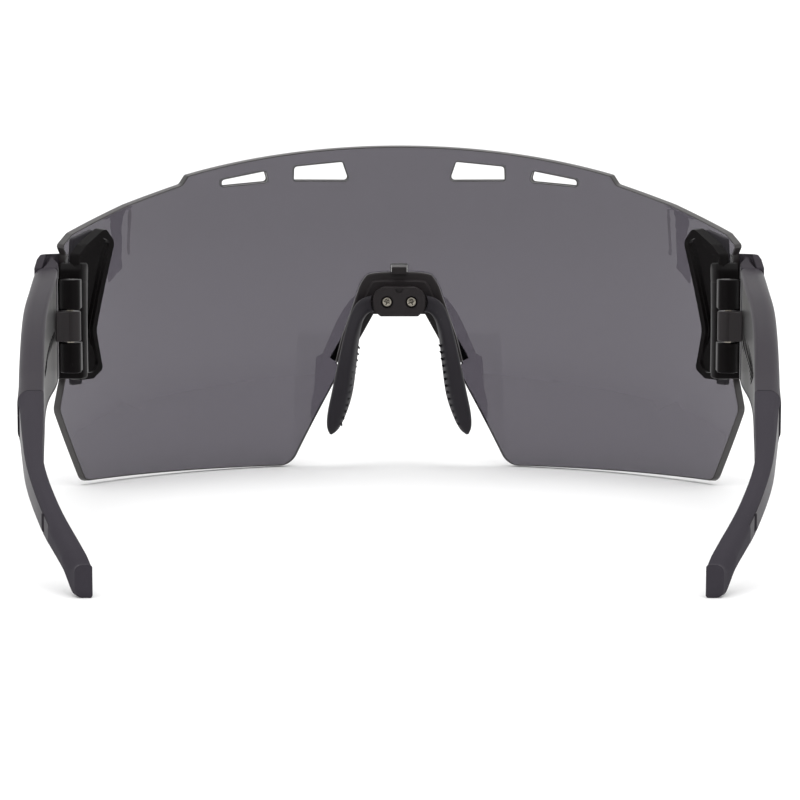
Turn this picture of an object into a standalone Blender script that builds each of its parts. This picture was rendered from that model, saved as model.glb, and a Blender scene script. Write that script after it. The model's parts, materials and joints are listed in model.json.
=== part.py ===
"""Wraparound shield sunglasses: a one-piece lens, a clip-in nose bridge with two adjustable
pad arms, and two folding temples on side lugs.

The wearer looks along +Y, +X is the wearer's right, and Z is up. The glasses stand open, as on a
table: the lens's lower edge and both temple tips are at Z = 0. Sizes are in millimetres, and the
meshes are made in metres.
"""

import math

import bmesh
import bpy
from mathutils import Matrix, Vector

MM = 0.001
GAP = 0.3  # clearance between pieces that touch on the real object
OVERLAP = 0.4  # how far solids that are joined reach into each other
LEFT, RIGHT = -1, 1
SIDES = {"left": LEFT, "right": RIGHT}

# Lens: widths run along its curved front surface, heights are above the table.
LENS_RADIUS = 84.0
LENS_RISE_RADIUS = 220.0
LENS_RISE_CENTRE = 30.0
LENS_THICKNESS = 1.8
LENS_HEIGHT = 68.6
LENS_HALF_ARC = 83.5
LENS_FOOT_INSET = 6.2
LENS_FOOT_RISE = 0.7
LENS_FOOT_ROUND = 4.5
BROW_HALF_ARC = 49.0
BROW_DROP = 5.9
BROW_STEP = 1.9
SHOULDER_INSET = 4.1
SHOULDER_DROP = 17.1
SIDE_CORNER_HEIGHT = 15.9
NOTCH_DEPTH = 2.4
NOTCH_RAMP = 6.5
NOTCH_BELOW_SHOULDER = 4.2
VENT_MARGIN = 2.6
VENT_RADIUS = 0.9
# Each vent: arc at its top inner, top outer, bottom inner and bottom outer corner, then heights.
VENTS = {
    "inner": (12.6, 24.0, 10.9, 24.0, 4.55, 3.4),
    "outer": (30.2, 41.0, 29.2, 40.7, 2.8, 1.8),
}

# Nose cut-out of the lens: an upside-down V with a round top.
NOSE_APEX_HEIGHT = 42.7
NOSE_SLOPE = 0.576
NOSE_ROUND = 4.7
CLIP_SEAT = 1.5  # how much wider the cut-out is where the clip sits in it
TAB_SLOT_HALF_WIDTH = 2.0
TAB_SLOT_BOTTOM = 40.9
TAB_SLOT_TOP = 43.4

# Nose bridge clip, swept along the edge of the nose cut-out.
CLIP_BOTTOM = 22.0
CLIP_WEB = 1.5
CLIP_LIP = 1.2
CLIP_LIP_REACH = 1.6
CLIP_PLATE = 1.9
CLIP_FOOT_REACH = 0.6
CLIP_WING_REACH = 2.0
CLIP_SIDE_REACH = 3.4
CLIP_SHOULDER_REACH = 4.4
CLIP_TOP_REACH = 2.2
TAB_DROP = 0.5  # from the slot's top to the tab's

# Screwed stack behind the bridge: boss, pad tongues, retainer, screws.
SCREW_SPACING = 5.2
SCREW_HEIGHT = 35.5
STACK_RADIUS = 3.1
BOSS_BACK = 6.0
TONGUE_THICKNESS = 0.8
RETAINER_THICKNESS = 2.0
RETAINER_RIM = 0.9
SCREW_RADIUS = 0.6
SCREW_HEAD_RADIUS = 1.1
SCREW_HEAD_HEIGHT = 0.55
SCREW_BITE = 2.4
EYELET_RADIUS = 1.8

# Nose pad arms: (out from the middle, behind the tongue plane, height below the screw,
# half thickness, half width) along each arm, from its root to its tip.
PAD_STATIONS = (
    (5.2, 0.0, 0.4, 1.75, 1.5),
    (7.5, 0.2, 1.2, 1.7, 1.5),
    (9.1, 1.0, 3.6, 1.5, 2.1),
    (10.1, 2.3, 7.6, 1.5, 3.1),
    (11.0, 3.6, 12.8, 1.75, 3.8),
    (12.1, 4.3, 19.0, 2.0, 3.9),
    (13.3, 4.4, 23.6, 1.8, 3.2),
    (14.1, 4.2, 26.6, 1.2, 2.0),
    (14.5, 4.1, 28.0, 0.3, 0.7),
)
PAD_FLARE = 10.0  # degrees that the pads open towards the face
WIRE_HALF_SECTION = (0.55, 0.4)
WIRE_STATIONS = 6

# Side lugs that grip the lens and carry the hinges.
LUG_THICKNESS = 1.6
LUG_RIM_HEIGHT = 0.8
LUG_RIM_WIDTH = 1.3
LUG_WIDTH = 8.6
LUG_WAIST = 5.2
LUG_TOP_RISE = 1.6
LUG_SLOT_WIDTH = 1.4
LUG_SLOT_DEPTH = 1.0
LUG_SEAM_BEHIND_EDGE = 4.7
CAP_WALL = 1.6
CAP_LIP = 1.2
CAP_LIP_REACH = 3.4
GASKET_THICKNESS = 1.2
GASKET_RISE = 1.2

# Hinge: a pin on a vertical axis, two knuckles on the lug and one on the temple.
HINGE_SWING_GAP = 0.5
HINGE_INBOARD = 3.5
HINGE_BELOW_MIDDLE = 1.5
KNUCKLE_RADIUS = 2.1
KNUCKLE_HEIGHT = 6.0
PIN_RADIUS = 0.7
PIN_HEAD_RADIUS = 1.3
PIN_HEAD_HEIGHT = 0.8
PIN_CLEARANCE = 0.12

# Temples: (share of the reach, inward shift, top, bottom, thickness) from the seam to the tip.
TEMPLE_REACH = 115.3
TEMPLE_OUTBOARD = 4.2  # from the lens's side edge to the temple's outer face
TEMPLE_STATIONS = (
    (0.00, 0.2, 44.7, 22.3, 4.8),
    (0.10, 0.9, 42.7, 21.6, 5.1),
    (0.22, 1.7, 39.5, 20.7, 4.8),
    (0.35, 3.2, 34.7, 19.8, 4.6),
    (0.50, 5.3, 27.7, 17.8, 4.6),
    (0.62, 7.6, 22.9, 15.3, 4.0),
    (0.74, 10.4, 17.8, 12.0, 3.1),
    (0.86, 14.6, 12.6, 7.6, 3.2),
    (0.95, 19.0, 7.8, 3.6, 3.6),
    (0.97, 20.0, 6.5, 2.5, 3.8),
    (0.988, 21.4, 5.2, 0.0, 3.3),
    (1.00, 22.2, 5.3, 0.0, 2.8),
)
GRIP_START = 0.52
STRIP_END = 0.90
STRIP_DEPTH = 1.3
STRIP_HALF_HEIGHT_SHARE = 0.34
INLAY_FROM = 0.045
INLAY_TO = 0.48
INLAY_THICKNESS = 0.9
INLAY_MARGIN = 0.8


# ---------------------------------------------------------------- places that follow from the sizes

EDGE_ARC = LENS_HALF_ARC - NOTCH_DEPTH
EDGE_ANGLE = EDGE_ARC / LENS_RADIUS
EDGE_X = LENS_RADIUS * math.sin(EDGE_ANGLE)
EDGE_BEHIND_APEX = LENS_RADIUS * (1 - math.cos(EDGE_ANGLE))
SEAM_BEHIND_APEX = EDGE_BEHIND_APEX + LUG_SEAM_BEHIND_EDGE
CLIP_PROUD = GAP + CLIP_LIP + 0.1
APEX_Y = (SEAM_BEHIND_APEX + TEMPLE_REACH + GAP - CLIP_PROUD) / 2
SEAM_Y = APEX_Y - SEAM_BEHIND_APEX
SHOULDER_Z = LENS_HEIGHT - SHOULDER_DROP
NOTCH_TOP = SHOULDER_Z - NOTCH_BELOW_SHOULDER
NOTCH_BOTTOM = SIDE_CORNER_HEIGHT + NOTCH_RAMP
HINGE_X = EDGE_X - HINGE_INBOARD
HINGE_Y = SEAM_Y - KNUCKLE_RADIUS - HINGE_SWING_GAP
HINGE_Z = (NOTCH_TOP + NOTCH_BOTTOM) / 2 - HINGE_BELOW_MIDDLE
TEMPLE_OUTER_X = EDGE_X + TEMPLE_OUTBOARD
CAP_OUTER_X = TEMPLE_OUTER_X - TEMPLE_STATIONS[0][1]
GASKET_FRONT = LENS_THICKNESS + GAP
PANEL_FRONT = GASKET_FRONT + GASKET_THICKNESS + GAP
PANEL_BACK = PANEL_FRONT + LUG_THICKNESS
BOSS_BACK_Y = APEX_Y - BOSS_BACK
TONGUE_Y = BOSS_BACK_Y - GAP - TONGUE_THICKNESS / 2
RETAINER_FRONT_Y = BOSS_BACK_Y - 2 * GAP - TONGUE_THICKNESS
RETAINER_BACK_Y = RETAINER_FRONT_Y - RETAINER_THICKNESS
SCREW_X = SCREW_SPACING / 2
NOSE_CENTRE_Z = NOSE_APEX_HEIGHT - NOSE_ROUND / math.sin(math.atan(NOSE_SLOPE))


def on_lens(arc, height, depth):
    """The point at this arc and height, this far behind the lens's front surface."""
    tilt = math.asin((height - LENS_RISE_CENTRE) / LENS_RISE_RADIUS)
    lean = LENS_RISE_RADIUS * (1 - math.cos(tilt))
    radius = LENS_RADIUS - lean - depth * math.cos(tilt)
    angle = arc / LENS_RADIUS
    return Vector((
        radius * math.sin(angle),
        APEX_Y - LENS_RADIUS + radius * math.cos(angle),
        height - depth * math.sin(tilt),
    ))


# ---------------------------------------------------------------- outlines

def rounded(corners, steps=4):
    """The outline through (x, y, radius) corners, each with its arc."""
    points = []
    for index, (x, y, radius) in enumerate(corners):
        here = Vector((x, y))
        before = Vector(corners[index - 1][:2]) - here
        after = Vector(corners[(index + 1) % len(corners)][:2]) - here
        if radius == 0:
            points.append(here)
            continue
        half = before.angle(after) / 2
        if half > math.radians(86):
            points.append(here)
            continue
        run = min(radius / math.tan(half), 0.48 * before.length, 0.48 * after.length)
        centre = here + (before.normalized() + after.normalized()).normalized() * run / math.cos(half)
        start = here + before.normalized() * run - centre
        end = here + after.normalized() * run - centre
        sweep = start.angle_signed(end)
        for step in range(steps + 1):
            turn = -sweep * step / steps
            points.append(centre + Matrix.Rotation(turn, 2) @ start)
    return points


def circle(centre_x, centre_y, radius, segments=24):
    turns = [2 * math.pi * k / segments for k in range(segments)]
    return [Vector((centre_x + radius * math.cos(a), centre_y + radius * math.sin(a))) for a in turns]


def brow_height(arc):
    """Height of the lens's raised brow edge at an arc from the middle."""
    return LENS_HEIGHT - BROW_DROP * (arc / BROW_HALF_ARC) ** 2


def nose_half_arc(height):
    return (NOSE_APEX_HEIGHT - height) * NOSE_SLOPE


def seat_half_arc(height):
    """Half width of the cut-out where the clip sits in it."""
    return nose_half_arc(height) + CLIP_SEAT * math.hypot(1, NOSE_SLOPE)


def lens_outline():
    """The lens's edge in arc and height, as one closed outline."""
    brow_end = LENS_HEIGHT - BROW_DROP
    shoulder_arc = LENS_HALF_ARC - SHOULDER_INSET
    slope_middle = (BROW_HALF_ARC + shoulder_arc) / 2
    seat_bottom = CLIP_BOTTOM - 1.2 * GAP
    step_bottom = seat_bottom - CLIP_SEAT * math.sin(math.atan(NOSE_SLOPE))
    seat_apex = NOSE_APEX_HEIGHT + CLIP_SEAT * math.hypot(1, NOSE_SLOPE) / NOSE_SLOPE
    right = [
        (seat_half_arc(seat_bottom), seat_bottom, 0.3),
        (nose_half_arc(step_bottom), step_bottom, 0.3),
        (nose_half_arc(0), 0, LENS_FOOT_ROUND),
        (LENS_HALF_ARC - LENS_FOOT_INSET, LENS_FOOT_RISE, 2.0),
        (LENS_HALF_ARC, SIDE_CORNER_HEIGHT, 2.5),
        (EDGE_ARC, NOTCH_BOTTOM, 1.5),
        (EDGE_ARC, NOTCH_TOP, 0.6),
        (LENS_HALF_ARC - 1.2, NOTCH_TOP + 1.8, 0.8),
        (shoulder_arc, SHOULDER_Z, 1.6),
        (slope_middle, (brow_end - BROW_STEP + SHOULDER_Z) / 2 + 0.7, 30.0),
        (BROW_HALF_ARC + 1.3, brow_end - BROW_STEP, 1.2),
        (BROW_HALF_ARC, brow_end, 0.6),
    ]
    brow = [(BROW_HALF_ARC * k / 6, brow_height(BROW_HALF_ARC * k / 6), 0) for k in range(5, -6, -1)]
    left = [(-arc, height, radius) for arc, height, radius in reversed(right)]
    return rounded(right + brow + left + [(0, seat_apex, NOSE_ROUND + CLIP_SEAT)], steps=5)


def vent_outlines():
    """The four vents under the brow, in arc and height."""
    outlines = []
    for side in SIDES.values():
        for top_in, top_out, bottom_in, bottom_out, height_in, height_out in VENTS.values():
            top_at_in = brow_height(top_in) - VENT_MARGIN
            top_at_out = brow_height(top_out) - VENT_MARGIN
            corners = [
                (side * top_in, top_at_in, VENT_RADIUS),
                (side * top_out, top_at_out, VENT_RADIUS),
                (side * bottom_out, top_at_out - height_out, VENT_RADIUS * 0.8),
                (side * bottom_in, top_at_in - height_in, VENT_RADIUS),
            ]
            outlines.append(rounded(corners))
    return outlines


def tab_slot_outline():
    corners = [
        (-TAB_SLOT_HALF_WIDTH, TAB_SLOT_BOTTOM, 0.4),
        (TAB_SLOT_HALF_WIDTH, TAB_SLOT_BOTTOM, 0.4),
        (TAB_SLOT_HALF_WIDTH, TAB_SLOT_TOP, 0.4),
        (-TAB_SLOT_HALF_WIDTH, TAB_SLOT_TOP, 0.4),
    ]
    return rounded(corners, steps=2)


# ---------------------------------------------------------------- meshes

def plate(outline, near, far, holes=(), arc_step=4.0, height_step=9.0):
    """A plate that follows the lens, between two depths, from an outline in arc and height."""
    flat = bmesh.new()
    for loop in [outline, *holes]:
        corners = [flat.verts.new((p.x, p.y, 0)) for p in loop]
        for k, corner in enumerate(corners):
            flat.edges.new((corners[k - 1], corner))
    bmesh.ops.triangle_fill(flat, edges=flat.edges[:], use_beauty=True)
    for axis, step in ((0, arc_step), (1, height_step)):
        low = min(v.co[axis] for v in flat.verts)
        high = max(v.co[axis] for v in flat.verts)
        normal = Vector((axis == 0, axis == 1, 0))
        for k in range(math.ceil(low / step), math.floor(high / step) + 1):
            everything = flat.verts[:] + flat.edges[:] + flat.faces[:]
            place = normal * k * step
            bmesh.ops.bisect_plane(flat, geom=everything, dist=1e-4, plane_co=place, plane_no=normal)
    solid = bmesh.new()
    layers = [[solid.verts.new(on_lens(v.co.x, v.co.y, depth)) for v in flat.verts] for depth in (near, far)]
    flat.verts.index_update()
    for face in flat.faces:
        ring = [v.index for v in face.verts]
        solid.faces.new([layers[0][k] for k in ring])
        solid.faces.new([layers[1][k] for k in reversed(ring)])
    for edge in flat.edges:
        if edge.is_boundary:
            first, second = (v.index for v in edge.verts)
            solid.faces.new((layers[0][first], layers[0][second], layers[1][second], layers[1][first]))
    flat.free()
    return solid


def loft(rings):
    """A closed solid through rings that each have the same number of points."""
    solid = bmesh.new()
    made = [[solid.verts.new(p) for p in ring] for ring in rings]
    for first, second in zip(made, made[1:]):
        for k in range(len(first)):
            solid.faces.new((first[k - 1], first[k], second[k], second[k - 1]))
    solid.faces.new(list(reversed(made[0])))
    solid.faces.new(made[-1])
    return solid


def prism(outline, low, high):
    """An outline in X and Y between two heights."""
    return loft([[Vector((p.x, p.y, z)) for p in outline] for z in (low, high)])


def slab(outline, front, back):
    """An outline in X and Z between two places along Y."""
    return loft([[Vector((p.x, y, p.y)) for p in outline] for y in (front, back)])


def rod(x, y, radius, low, high, segments=24):
    """An upright cylinder."""
    return prism(circle(x, y, radius, segments), low, high)


def bar(x, z, radius, front, back, segments=20):
    """A cylinder along Y."""
    return slab(circle(x, z, radius, segments), front, back)


def smooth_path(stations, per_span):
    """Points between stations on a Catmull-Rom curve, through every station."""
    path = []
    padded = [stations[0], *stations, stations[-1]]
    for k in range(len(stations) - 1):
        a, b, c, d = (Vector(s) for s in padded[k:k + 4])
        for step in range(per_span):
            t = step / per_span
            spread = 2 * b + (c - a) * t + (2 * a - 5 * b + 4 * c - d) * t ** 2
            path.append((spread + (3 * b - a - 3 * c + d) * t ** 3) / 2)
    return [*path, Vector(stations[-1])]


# ---------------------------------------------------------------- objects

def material(name, colour, roughness, metallic=0.0, transmission=0.0):
    made = bpy.data.materials.new(name)
    made.use_nodes = True
    shader = made.node_tree.nodes["Principled BSDF"]
    shader.inputs["Base Color"].default_value = (*colour, 1)
    shader.inputs["Roughness"].default_value = roughness
    shader.inputs["Metallic"].default_value = metallic
    shader.inputs["Transmission Weight"].default_value = transmission
    made.diffuse_color = (*colour, 1)
    return made


def is_warped(face):
    """Whether a face's corners aren't in one plane."""
    face.normal_update()
    start = face.verts[0].co
    return any(abs((v.co - start).dot(face.normal)) > 1e-8 for v in face.verts)


def node(name, solid, side, finish, pivot=None):
    """A named object made from a right-hand solid, mirrored for the left."""
    origin = Vector(pivot.location) if pivot else Vector()
    bmesh.ops.transform(solid, matrix=Matrix.Diagonal((side * MM, MM, MM, 1)), verts=solid.verts)
    bmesh.ops.translate(solid, vec=-origin, verts=solid.verts)
    bmesh.ops.recalc_face_normals(solid, faces=solid.faces)
    bmesh.ops.triangulate(solid, faces=[face for face in solid.faces if is_warped(face)])
    mesh = bpy.data.meshes.new(name)
    solid.to_mesh(mesh)
    solid.free()
    mesh.set_sharp_from_angle(angle=math.radians(35))
    obj = bpy.data.objects.new(name, mesh)
    bpy.context.scene.collection.objects.link(obj)
    if finish:
        mesh.materials.append(finish)
    if pivot:
        obj.parent = pivot
    return obj


def shape(target, operation, solids, side):
    """Adds to or cuts from an object with helper solids that aren't rendered."""
    for solid in solids:
        helper = node(f"{target.name}_{operation.lower()}", solid, side, None)
        helper.hide_render = True
        helper.display_type = "WIRE"
        modifier = target.modifiers.new(helper.name, "BOOLEAN")
        modifier.operation = operation
        modifier.solver = "EXACT"
        modifier.object = helper


def join(target, side, *solids):
    shape(target, "UNION", solids, side)


def cut(target, side, *solids):
    shape(target, "DIFFERENCE", solids, side)


def pivot_at(name, side, x, y, z):
    """An empty on a joint's axis, which the joint's pieces are parented to."""
    empty = bpy.data.objects.new(name, None)
    empty.location = (side * x * MM, y * MM, z * MM)
    empty.empty_display_size = 0.01
    bpy.context.scene.collection.objects.link(empty)
    return empty


# ---------------------------------------------------------------- lens

def build_lens(finish):
    holes = vent_outlines() + [tab_slot_outline()]
    node("lens_shield", plate(lens_outline(), 0, LENS_THICKNESS, holes), RIGHT, finish)


# ---------------------------------------------------------------- nose bridge

def clip_reach(height, top):
    """How far the clip's rear plate reaches over the lens, at a height on the seat's edge."""
    marks = [
        (CLIP_BOTTOM, CLIP_FOOT_REACH),
        (CLIP_BOTTOM + 4.5, CLIP_WING_REACH),
        (NOSE_CENTRE_Z, CLIP_SIDE_REACH),
        (top - 1.6, CLIP_SHOULDER_REACH),
        (top, CLIP_TOP_REACH),
    ]
    for (low, near), (high, far) in zip(marks, marks[1:]):
        if height <= high:
            return near + (far - near) * (height - low) / (high - low)
    return CLIP_TOP_REACH


def build_bridge_clip(finish):
    """A channel along the nose cut-out's edge: lip in front, web through, plate behind."""
    slope = math.atan(NOSE_SLOPE)
    leg = [CLIP_BOTTOM, CLIP_BOTTOM + 1.5, CLIP_BOTTOM + 4.5, CLIP_BOTTOM + 9]
    seat_round = NOSE_ROUND + CLIP_SEAT
    top = NOSE_CENTRE_Z + seat_round
    path = [(Vector((seat_half_arc(z), z)), slope) for z in leg]
    turns = 12
    for k in range(turns + 1):
        angle = slope + (math.pi - 2 * slope) * k / turns
        spoke = Vector((math.cos(angle), math.sin(angle)))
        path.append((Vector((0, NOSE_CENTRE_Z)) + spoke * seat_round, angle))
    path += [(Vector((-seat_half_arc(z), z)), math.pi - slope) for z in reversed(leg)]
    back = LENS_THICKNESS + GAP
    rings = []
    for edge, angle in path:
        outward = Vector((math.cos(angle), math.sin(angle)))
        reach = clip_reach(edge.y, top)
        section = [
            (-CLIP_WEB, -GAP - CLIP_LIP),
            (CLIP_LIP_REACH, -GAP - CLIP_LIP),
            (CLIP_LIP_REACH, -GAP),
            (-GAP, -GAP),
            (-GAP, back),
            (reach, back),
            (reach, back + CLIP_PLATE),
            (-CLIP_WEB, back + CLIP_PLATE),
        ]
        rings.append([on_lens(*(edge + outward * out), depth) for out, depth in section])
    clip = node("bridge_clip", loft(rings), RIGHT, finish)
    boss_front = APEX_Y - LENS_THICKNESS - 4 * GAP
    join(clip, RIGHT, slab(stack_outline(STACK_RADIUS), boss_front, BOSS_BACK_Y))
    arch_low, arch_high = NOSE_CENTRE_Z - 0.7, NOSE_CENTRE_Z + 3.9
    low_half, high_half = nose_half_arc(arch_low) + 0.3, 3.7
    keystone = ((-low_half, arch_low), (low_half, arch_low), (high_half, arch_high), (-high_half, arch_high))
    join(clip, RIGHT, plate([Vector(p) for p in keystone], -GAP - CLIP_LIP + 0.1, back + CLIP_PLATE - 0.2))
    half = TAB_SLOT_HALF_WIDTH - GAP
    low, high = TAB_SLOT_BOTTOM + GAP, TAB_SLOT_TOP - TAB_DROP
    tab = [Vector(p) for p in ((-half, low), (half, low), (half, high), (-half, high))]
    join(clip, RIGHT, plate(tab, -GAP - CLIP_LIP, back + CLIP_PLATE - 0.1))
    hole_end = BOSS_BACK_Y + SCREW_BITE + GAP
    for side in SIDES.values():
        bore = bar(side * SCREW_X, SCREW_HEIGHT, SCREW_RADIUS + PIN_CLEARANCE, hole_end, BOSS_BACK_Y - 1)
        cut(clip, RIGHT, bore)


def stack_outline(radius):
    """The stadium around both screws, in X and Z."""
    points = []
    for k in range(13):
        angle = -math.pi / 2 + math.pi * k / 12
        points.append(Vector((SCREW_X + radius * math.cos(angle), SCREW_HEIGHT + radius * math.sin(angle))))
    return points + [Vector((-p.x, p.y)) for p in reversed(points)]


def build_retainer(finish):
    """The hard cap that the two screws pull down on the pads' tongues."""
    body = slab(stack_outline(STACK_RADIUS), BOSS_BACK_Y - GAP, RETAINER_BACK_Y)
    retainer = node("pad_retainer", body, RIGHT, finish)
    reach = SCREW_X + STACK_RADIUS + 1
    half = STACK_RADIUS - RETAINER_RIM
    corners = ((-reach, -half), (reach, -half), (reach, half), (-reach, half))
    pocket = [Vector((x, SCREW_HEIGHT + z)) for x, z in corners]
    cut(retainer, RIGHT, slab(pocket, BOSS_BACK_Y, RETAINER_FRONT_Y))
    sink = SCREW_HEAD_HEIGHT + 0.15
    for side in SIDES.values():
        x = side * SCREW_X
        cut(retainer, RIGHT, bar(x, SCREW_HEIGHT, SCREW_RADIUS + 0.15, BOSS_BACK_Y, RETAINER_BACK_Y - 1))
        well_end = RETAINER_BACK_Y + sink + GAP
        cut(retainer, RIGHT, bar(x, SCREW_HEIGHT, SCREW_HEAD_RADIUS + 0.2, well_end, RETAINER_BACK_Y - 1))


def build_screw(label, side, finish):
    head_front = RETAINER_BACK_Y + SCREW_HEAD_HEIGHT + 0.15
    head = bar(SCREW_X, SCREW_HEIGHT, SCREW_HEAD_RADIUS, head_front, head_front - SCREW_HEAD_HEIGHT)
    screw = node(f"pad_screw_{label}", head, side, finish)
    shank_end = BOSS_BACK_Y + SCREW_BITE
    join(screw, side, bar(SCREW_X, SCREW_HEIGHT, SCREW_RADIUS, shank_end, head_front - OVERLAP / 2))
    cross_depth = SCREW_HEAD_HEIGHT - 0.2
    for length, height in ((0.7, 0.14), (0.14, 0.7)):
        corners = ((-length, -height), (length, -height), (length, height), (-length, height))
        outline = [Vector((SCREW_X + x, SCREW_HEIGHT + z)) for x, z in corners]
        head_back = head_front - SCREW_HEAD_HEIGHT
        cut(screw, side, slab(outline, head_back + cross_depth, head_back - 1))


def pad_rings(half_sections, stations, corners):
    """Rings along a pad arm. Each section turns with the arm and opens towards the face."""
    path = smooth_path([(x, TONGUE_Y - back, SCREW_HEIGHT - drop) for x, back, drop, _, _ in stations], 2)
    sizes = smooth_path(half_sections, 2)
    rings = []
    for k, point in enumerate(path):
        along = (path[min(k + 1, len(path) - 1)] - path[max(k - 1, 0)]).normalized()
        flare = math.radians(PAD_FLARE) * min(1.0, k / 6)
        rearward = Vector((math.sin(flare), -math.cos(flare), 0))
        rearward = (rearward - along * rearward.dot(along)).normalized()
        across = along.cross(rearward)
        thick, wide = sizes[k]
        rings.append([point + across * thick * a + rearward * wide * b for a, b in corners])
    return rings


def pad_corners():
    """A soft-cornered section, as shares of the half thickness and half width."""
    corners = []
    for k in range(14):
        angle = 2 * math.pi * k / 14
        bulge = [math.copysign(abs(f(angle)) ** 0.7, f(angle)) for f in (math.cos, math.sin)]
        corners.append(tuple(bulge))
    return corners


def wire_stations():
    return ((SCREW_X, 0.0, 0.0, 0, 0), *PAD_STATIONS[:WIRE_STATIONS])


def wire_rings(grow):
    thick, wide = (half + grow for half in WIRE_HALF_SECTION)
    stations = wire_stations()
    square = ((-1, -1), (1, -1), (1, 1), (-1, 1))
    rings = pad_rings([(thick, wide)] * len(stations), stations, square)
    if grow:
        lead = rings[-1][0] - rings[-2][0]
        rings[-1] = [p + lead.normalized() * grow for p in rings[-1]]
    return rings


def build_pad(label, side, rubber, metal):
    """One rubber pad arm on its own wire, which swings about its retainer screw."""
    pivot = pivot_at(f"pad_axis_{label}", side, SCREW_X, TONGUE_Y, SCREW_HEIGHT)
    sizes = [(thick, wide) for _, _, _, thick, wide in PAD_STATIONS]
    arm = node(f"pad_arm_{label}", loft(pad_rings(sizes, PAD_STATIONS, pad_corners())), side, rubber, pivot)
    cut(arm, side, bar(SCREW_X, SCREW_HEIGHT, STACK_RADIUS + GAP, APEX_Y, RETAINER_BACK_Y - 5, 40))
    cut(arm, side, loft(wire_rings(GAP)))
    half = TONGUE_THICKNESS / 2
    eyelet = bar(SCREW_X, SCREW_HEIGHT, EYELET_RADIUS, TONGUE_Y + half, TONGUE_Y - half)
    wire = node(f"pad_wire_{label}", eyelet, side, metal, pivot)
    join(wire, side, loft(wire_rings(0)))
    cut(wire, side, bar(SCREW_X, SCREW_HEIGHT, SCREW_RADIUS + 0.2, TONGUE_Y + 2, TONGUE_Y - 2))


# ---------------------------------------------------------------- side lugs

def panel_corners(inset, spill=0.0):
    """The lug's inside panel, in arc and height, moved in by an inset and out towards the hinge."""
    top = SHOULDER_Z + LUG_TOP_RISE
    bottom = NOTCH_BOTTOM - 0.5
    waist = bottom + 0.32 * (top - bottom)
    inner, outer = EDGE_ARC - LUG_WIDTH, EDGE_ARC + 0.8 + spill
    return [
        (outer, bottom + inset, 0.8),
        (inner + 4.6, bottom + inset, 1.2),
        (inner + 1.6 + inset, bottom + 1.8 + inset, 1.2),
        (EDGE_ARC - LUG_WAIST + inset, waist, 5.0),
        (inner - 1.6 + inset, top - 3.0, 2.0),
        (inner + 1.4 + inset * 0.4, top - 1.5 * inset, 1.4),
        (EDGE_ARC - 1.4, top - 3.4 - 1.5 * inset, 4.0),
        (outer, top - 5.4 - 1.5 * inset - spill, 1.0),
    ]


def slot_corners():
    """The long slot beside the panel's rim, wider at its lower end."""
    left, right = panel_corners(LUG_RIM_WIDTH + 0.2), panel_corners(LUG_RIM_WIDTH + LUG_SLOT_WIDTH)
    return [
        (left[2][0], left[2][1] + 0.8, 0.5),
        (left[3][0], left[3][1], 3.0),
        (left[4][0], left[4][1], 0.5),
        (right[4][0] - 0.3, right[4][1], 0.5),
        (right[3][0] + 0.7, right[3][1] + 2.5, 1.0),
    ]


def gasket_corners():
    """The soft strip between the lens and the panel, which shows above and below the panel."""
    top = SHOULDER_Z + LUG_TOP_RISE
    bottom = NOTCH_BOTTOM - 0.5
    waist = bottom + 0.32 * (top - bottom)
    return [
        (EDGE_ARC - 0.5, bottom - GASKET_RISE, 0.5),
        (EDGE_ARC - 3.4, bottom - GASKET_RISE, 0.5),
        (EDGE_ARC - 4.0, bottom + 1.5, 1.0),
        (EDGE_ARC - LUG_WAIST + 1.6, waist, 4.0),
        (EDGE_ARC - 7.6, top - 3.4, 1.0),
        (EDGE_ARC - 6.6, top - 0.6, 0.8),
        (EDGE_ARC - 0.3, top - 3.6 + GASKET_RISE, 0.6),
        (EDGE_ARC - 0.3, top - 6.6, 1.0),
    ]


def plan(height, *places):
    """Where these arcs and depths on the lens are in plan, at a height."""
    return [on_lens(arc, height, depth).xy for arc, depth in places]


def lug_section(height, rear_shift=0.0):
    """The lug's hinge block in plan at a height, around the lens's side edge."""
    inner = EDGE_ARC - 3.6
    front = plan(
        height,
        (inner, PANEL_BACK - 0.2),
        (inner, PANEL_FRONT + 0.1),
        (EDGE_ARC + GAP, PANEL_FRONT + 0.1),
        (EDGE_ARC + GAP, -0.1),
    )
    outer = CAP_OUTER_X - CAP_WALL - GAP
    rear = [
        (outer - 0.3, SEAM_Y + 2.2 + rear_shift / 2),
        (outer - rear_shift / 4, SEAM_Y + rear_shift),
        (HINGE_X - KNUCKLE_RADIUS + 0.2, SEAM_Y + rear_shift),
        (HINGE_X - KNUCKLE_RADIUS - 0.6, SEAM_Y + 1.6 + rear_shift),
    ]
    return front + [Vector(p) for p in rear]


def ridge_section(height, rear_shift=0.0):
    """The dark ridge in plan that fills in between the panel and the cap's roof, above the block."""
    inner = EDGE_ARC - 3.6
    front = plan(
        height,
        (inner, PANEL_BACK - 0.2),
        (inner, PANEL_FRONT + 0.1),
        (EDGE_ARC + 0.4, PANEL_FRONT + 0.1),
    )
    outer = CAP_OUTER_X - TEMPLE_STATIONS[0][4] - GAP
    rear = [
        (outer, SEAM_Y + 1.9 + rear_shift / 2),
        (outer, SEAM_Y + rear_shift),
        (HINGE_X - KNUCKLE_RADIUS + 0.2, SEAM_Y + rear_shift),
        (HINGE_X - KNUCKLE_RADIUS - 0.6, SEAM_Y + 1.6 + rear_shift),
    ]
    return front + [Vector(p) for p in rear]


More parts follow.
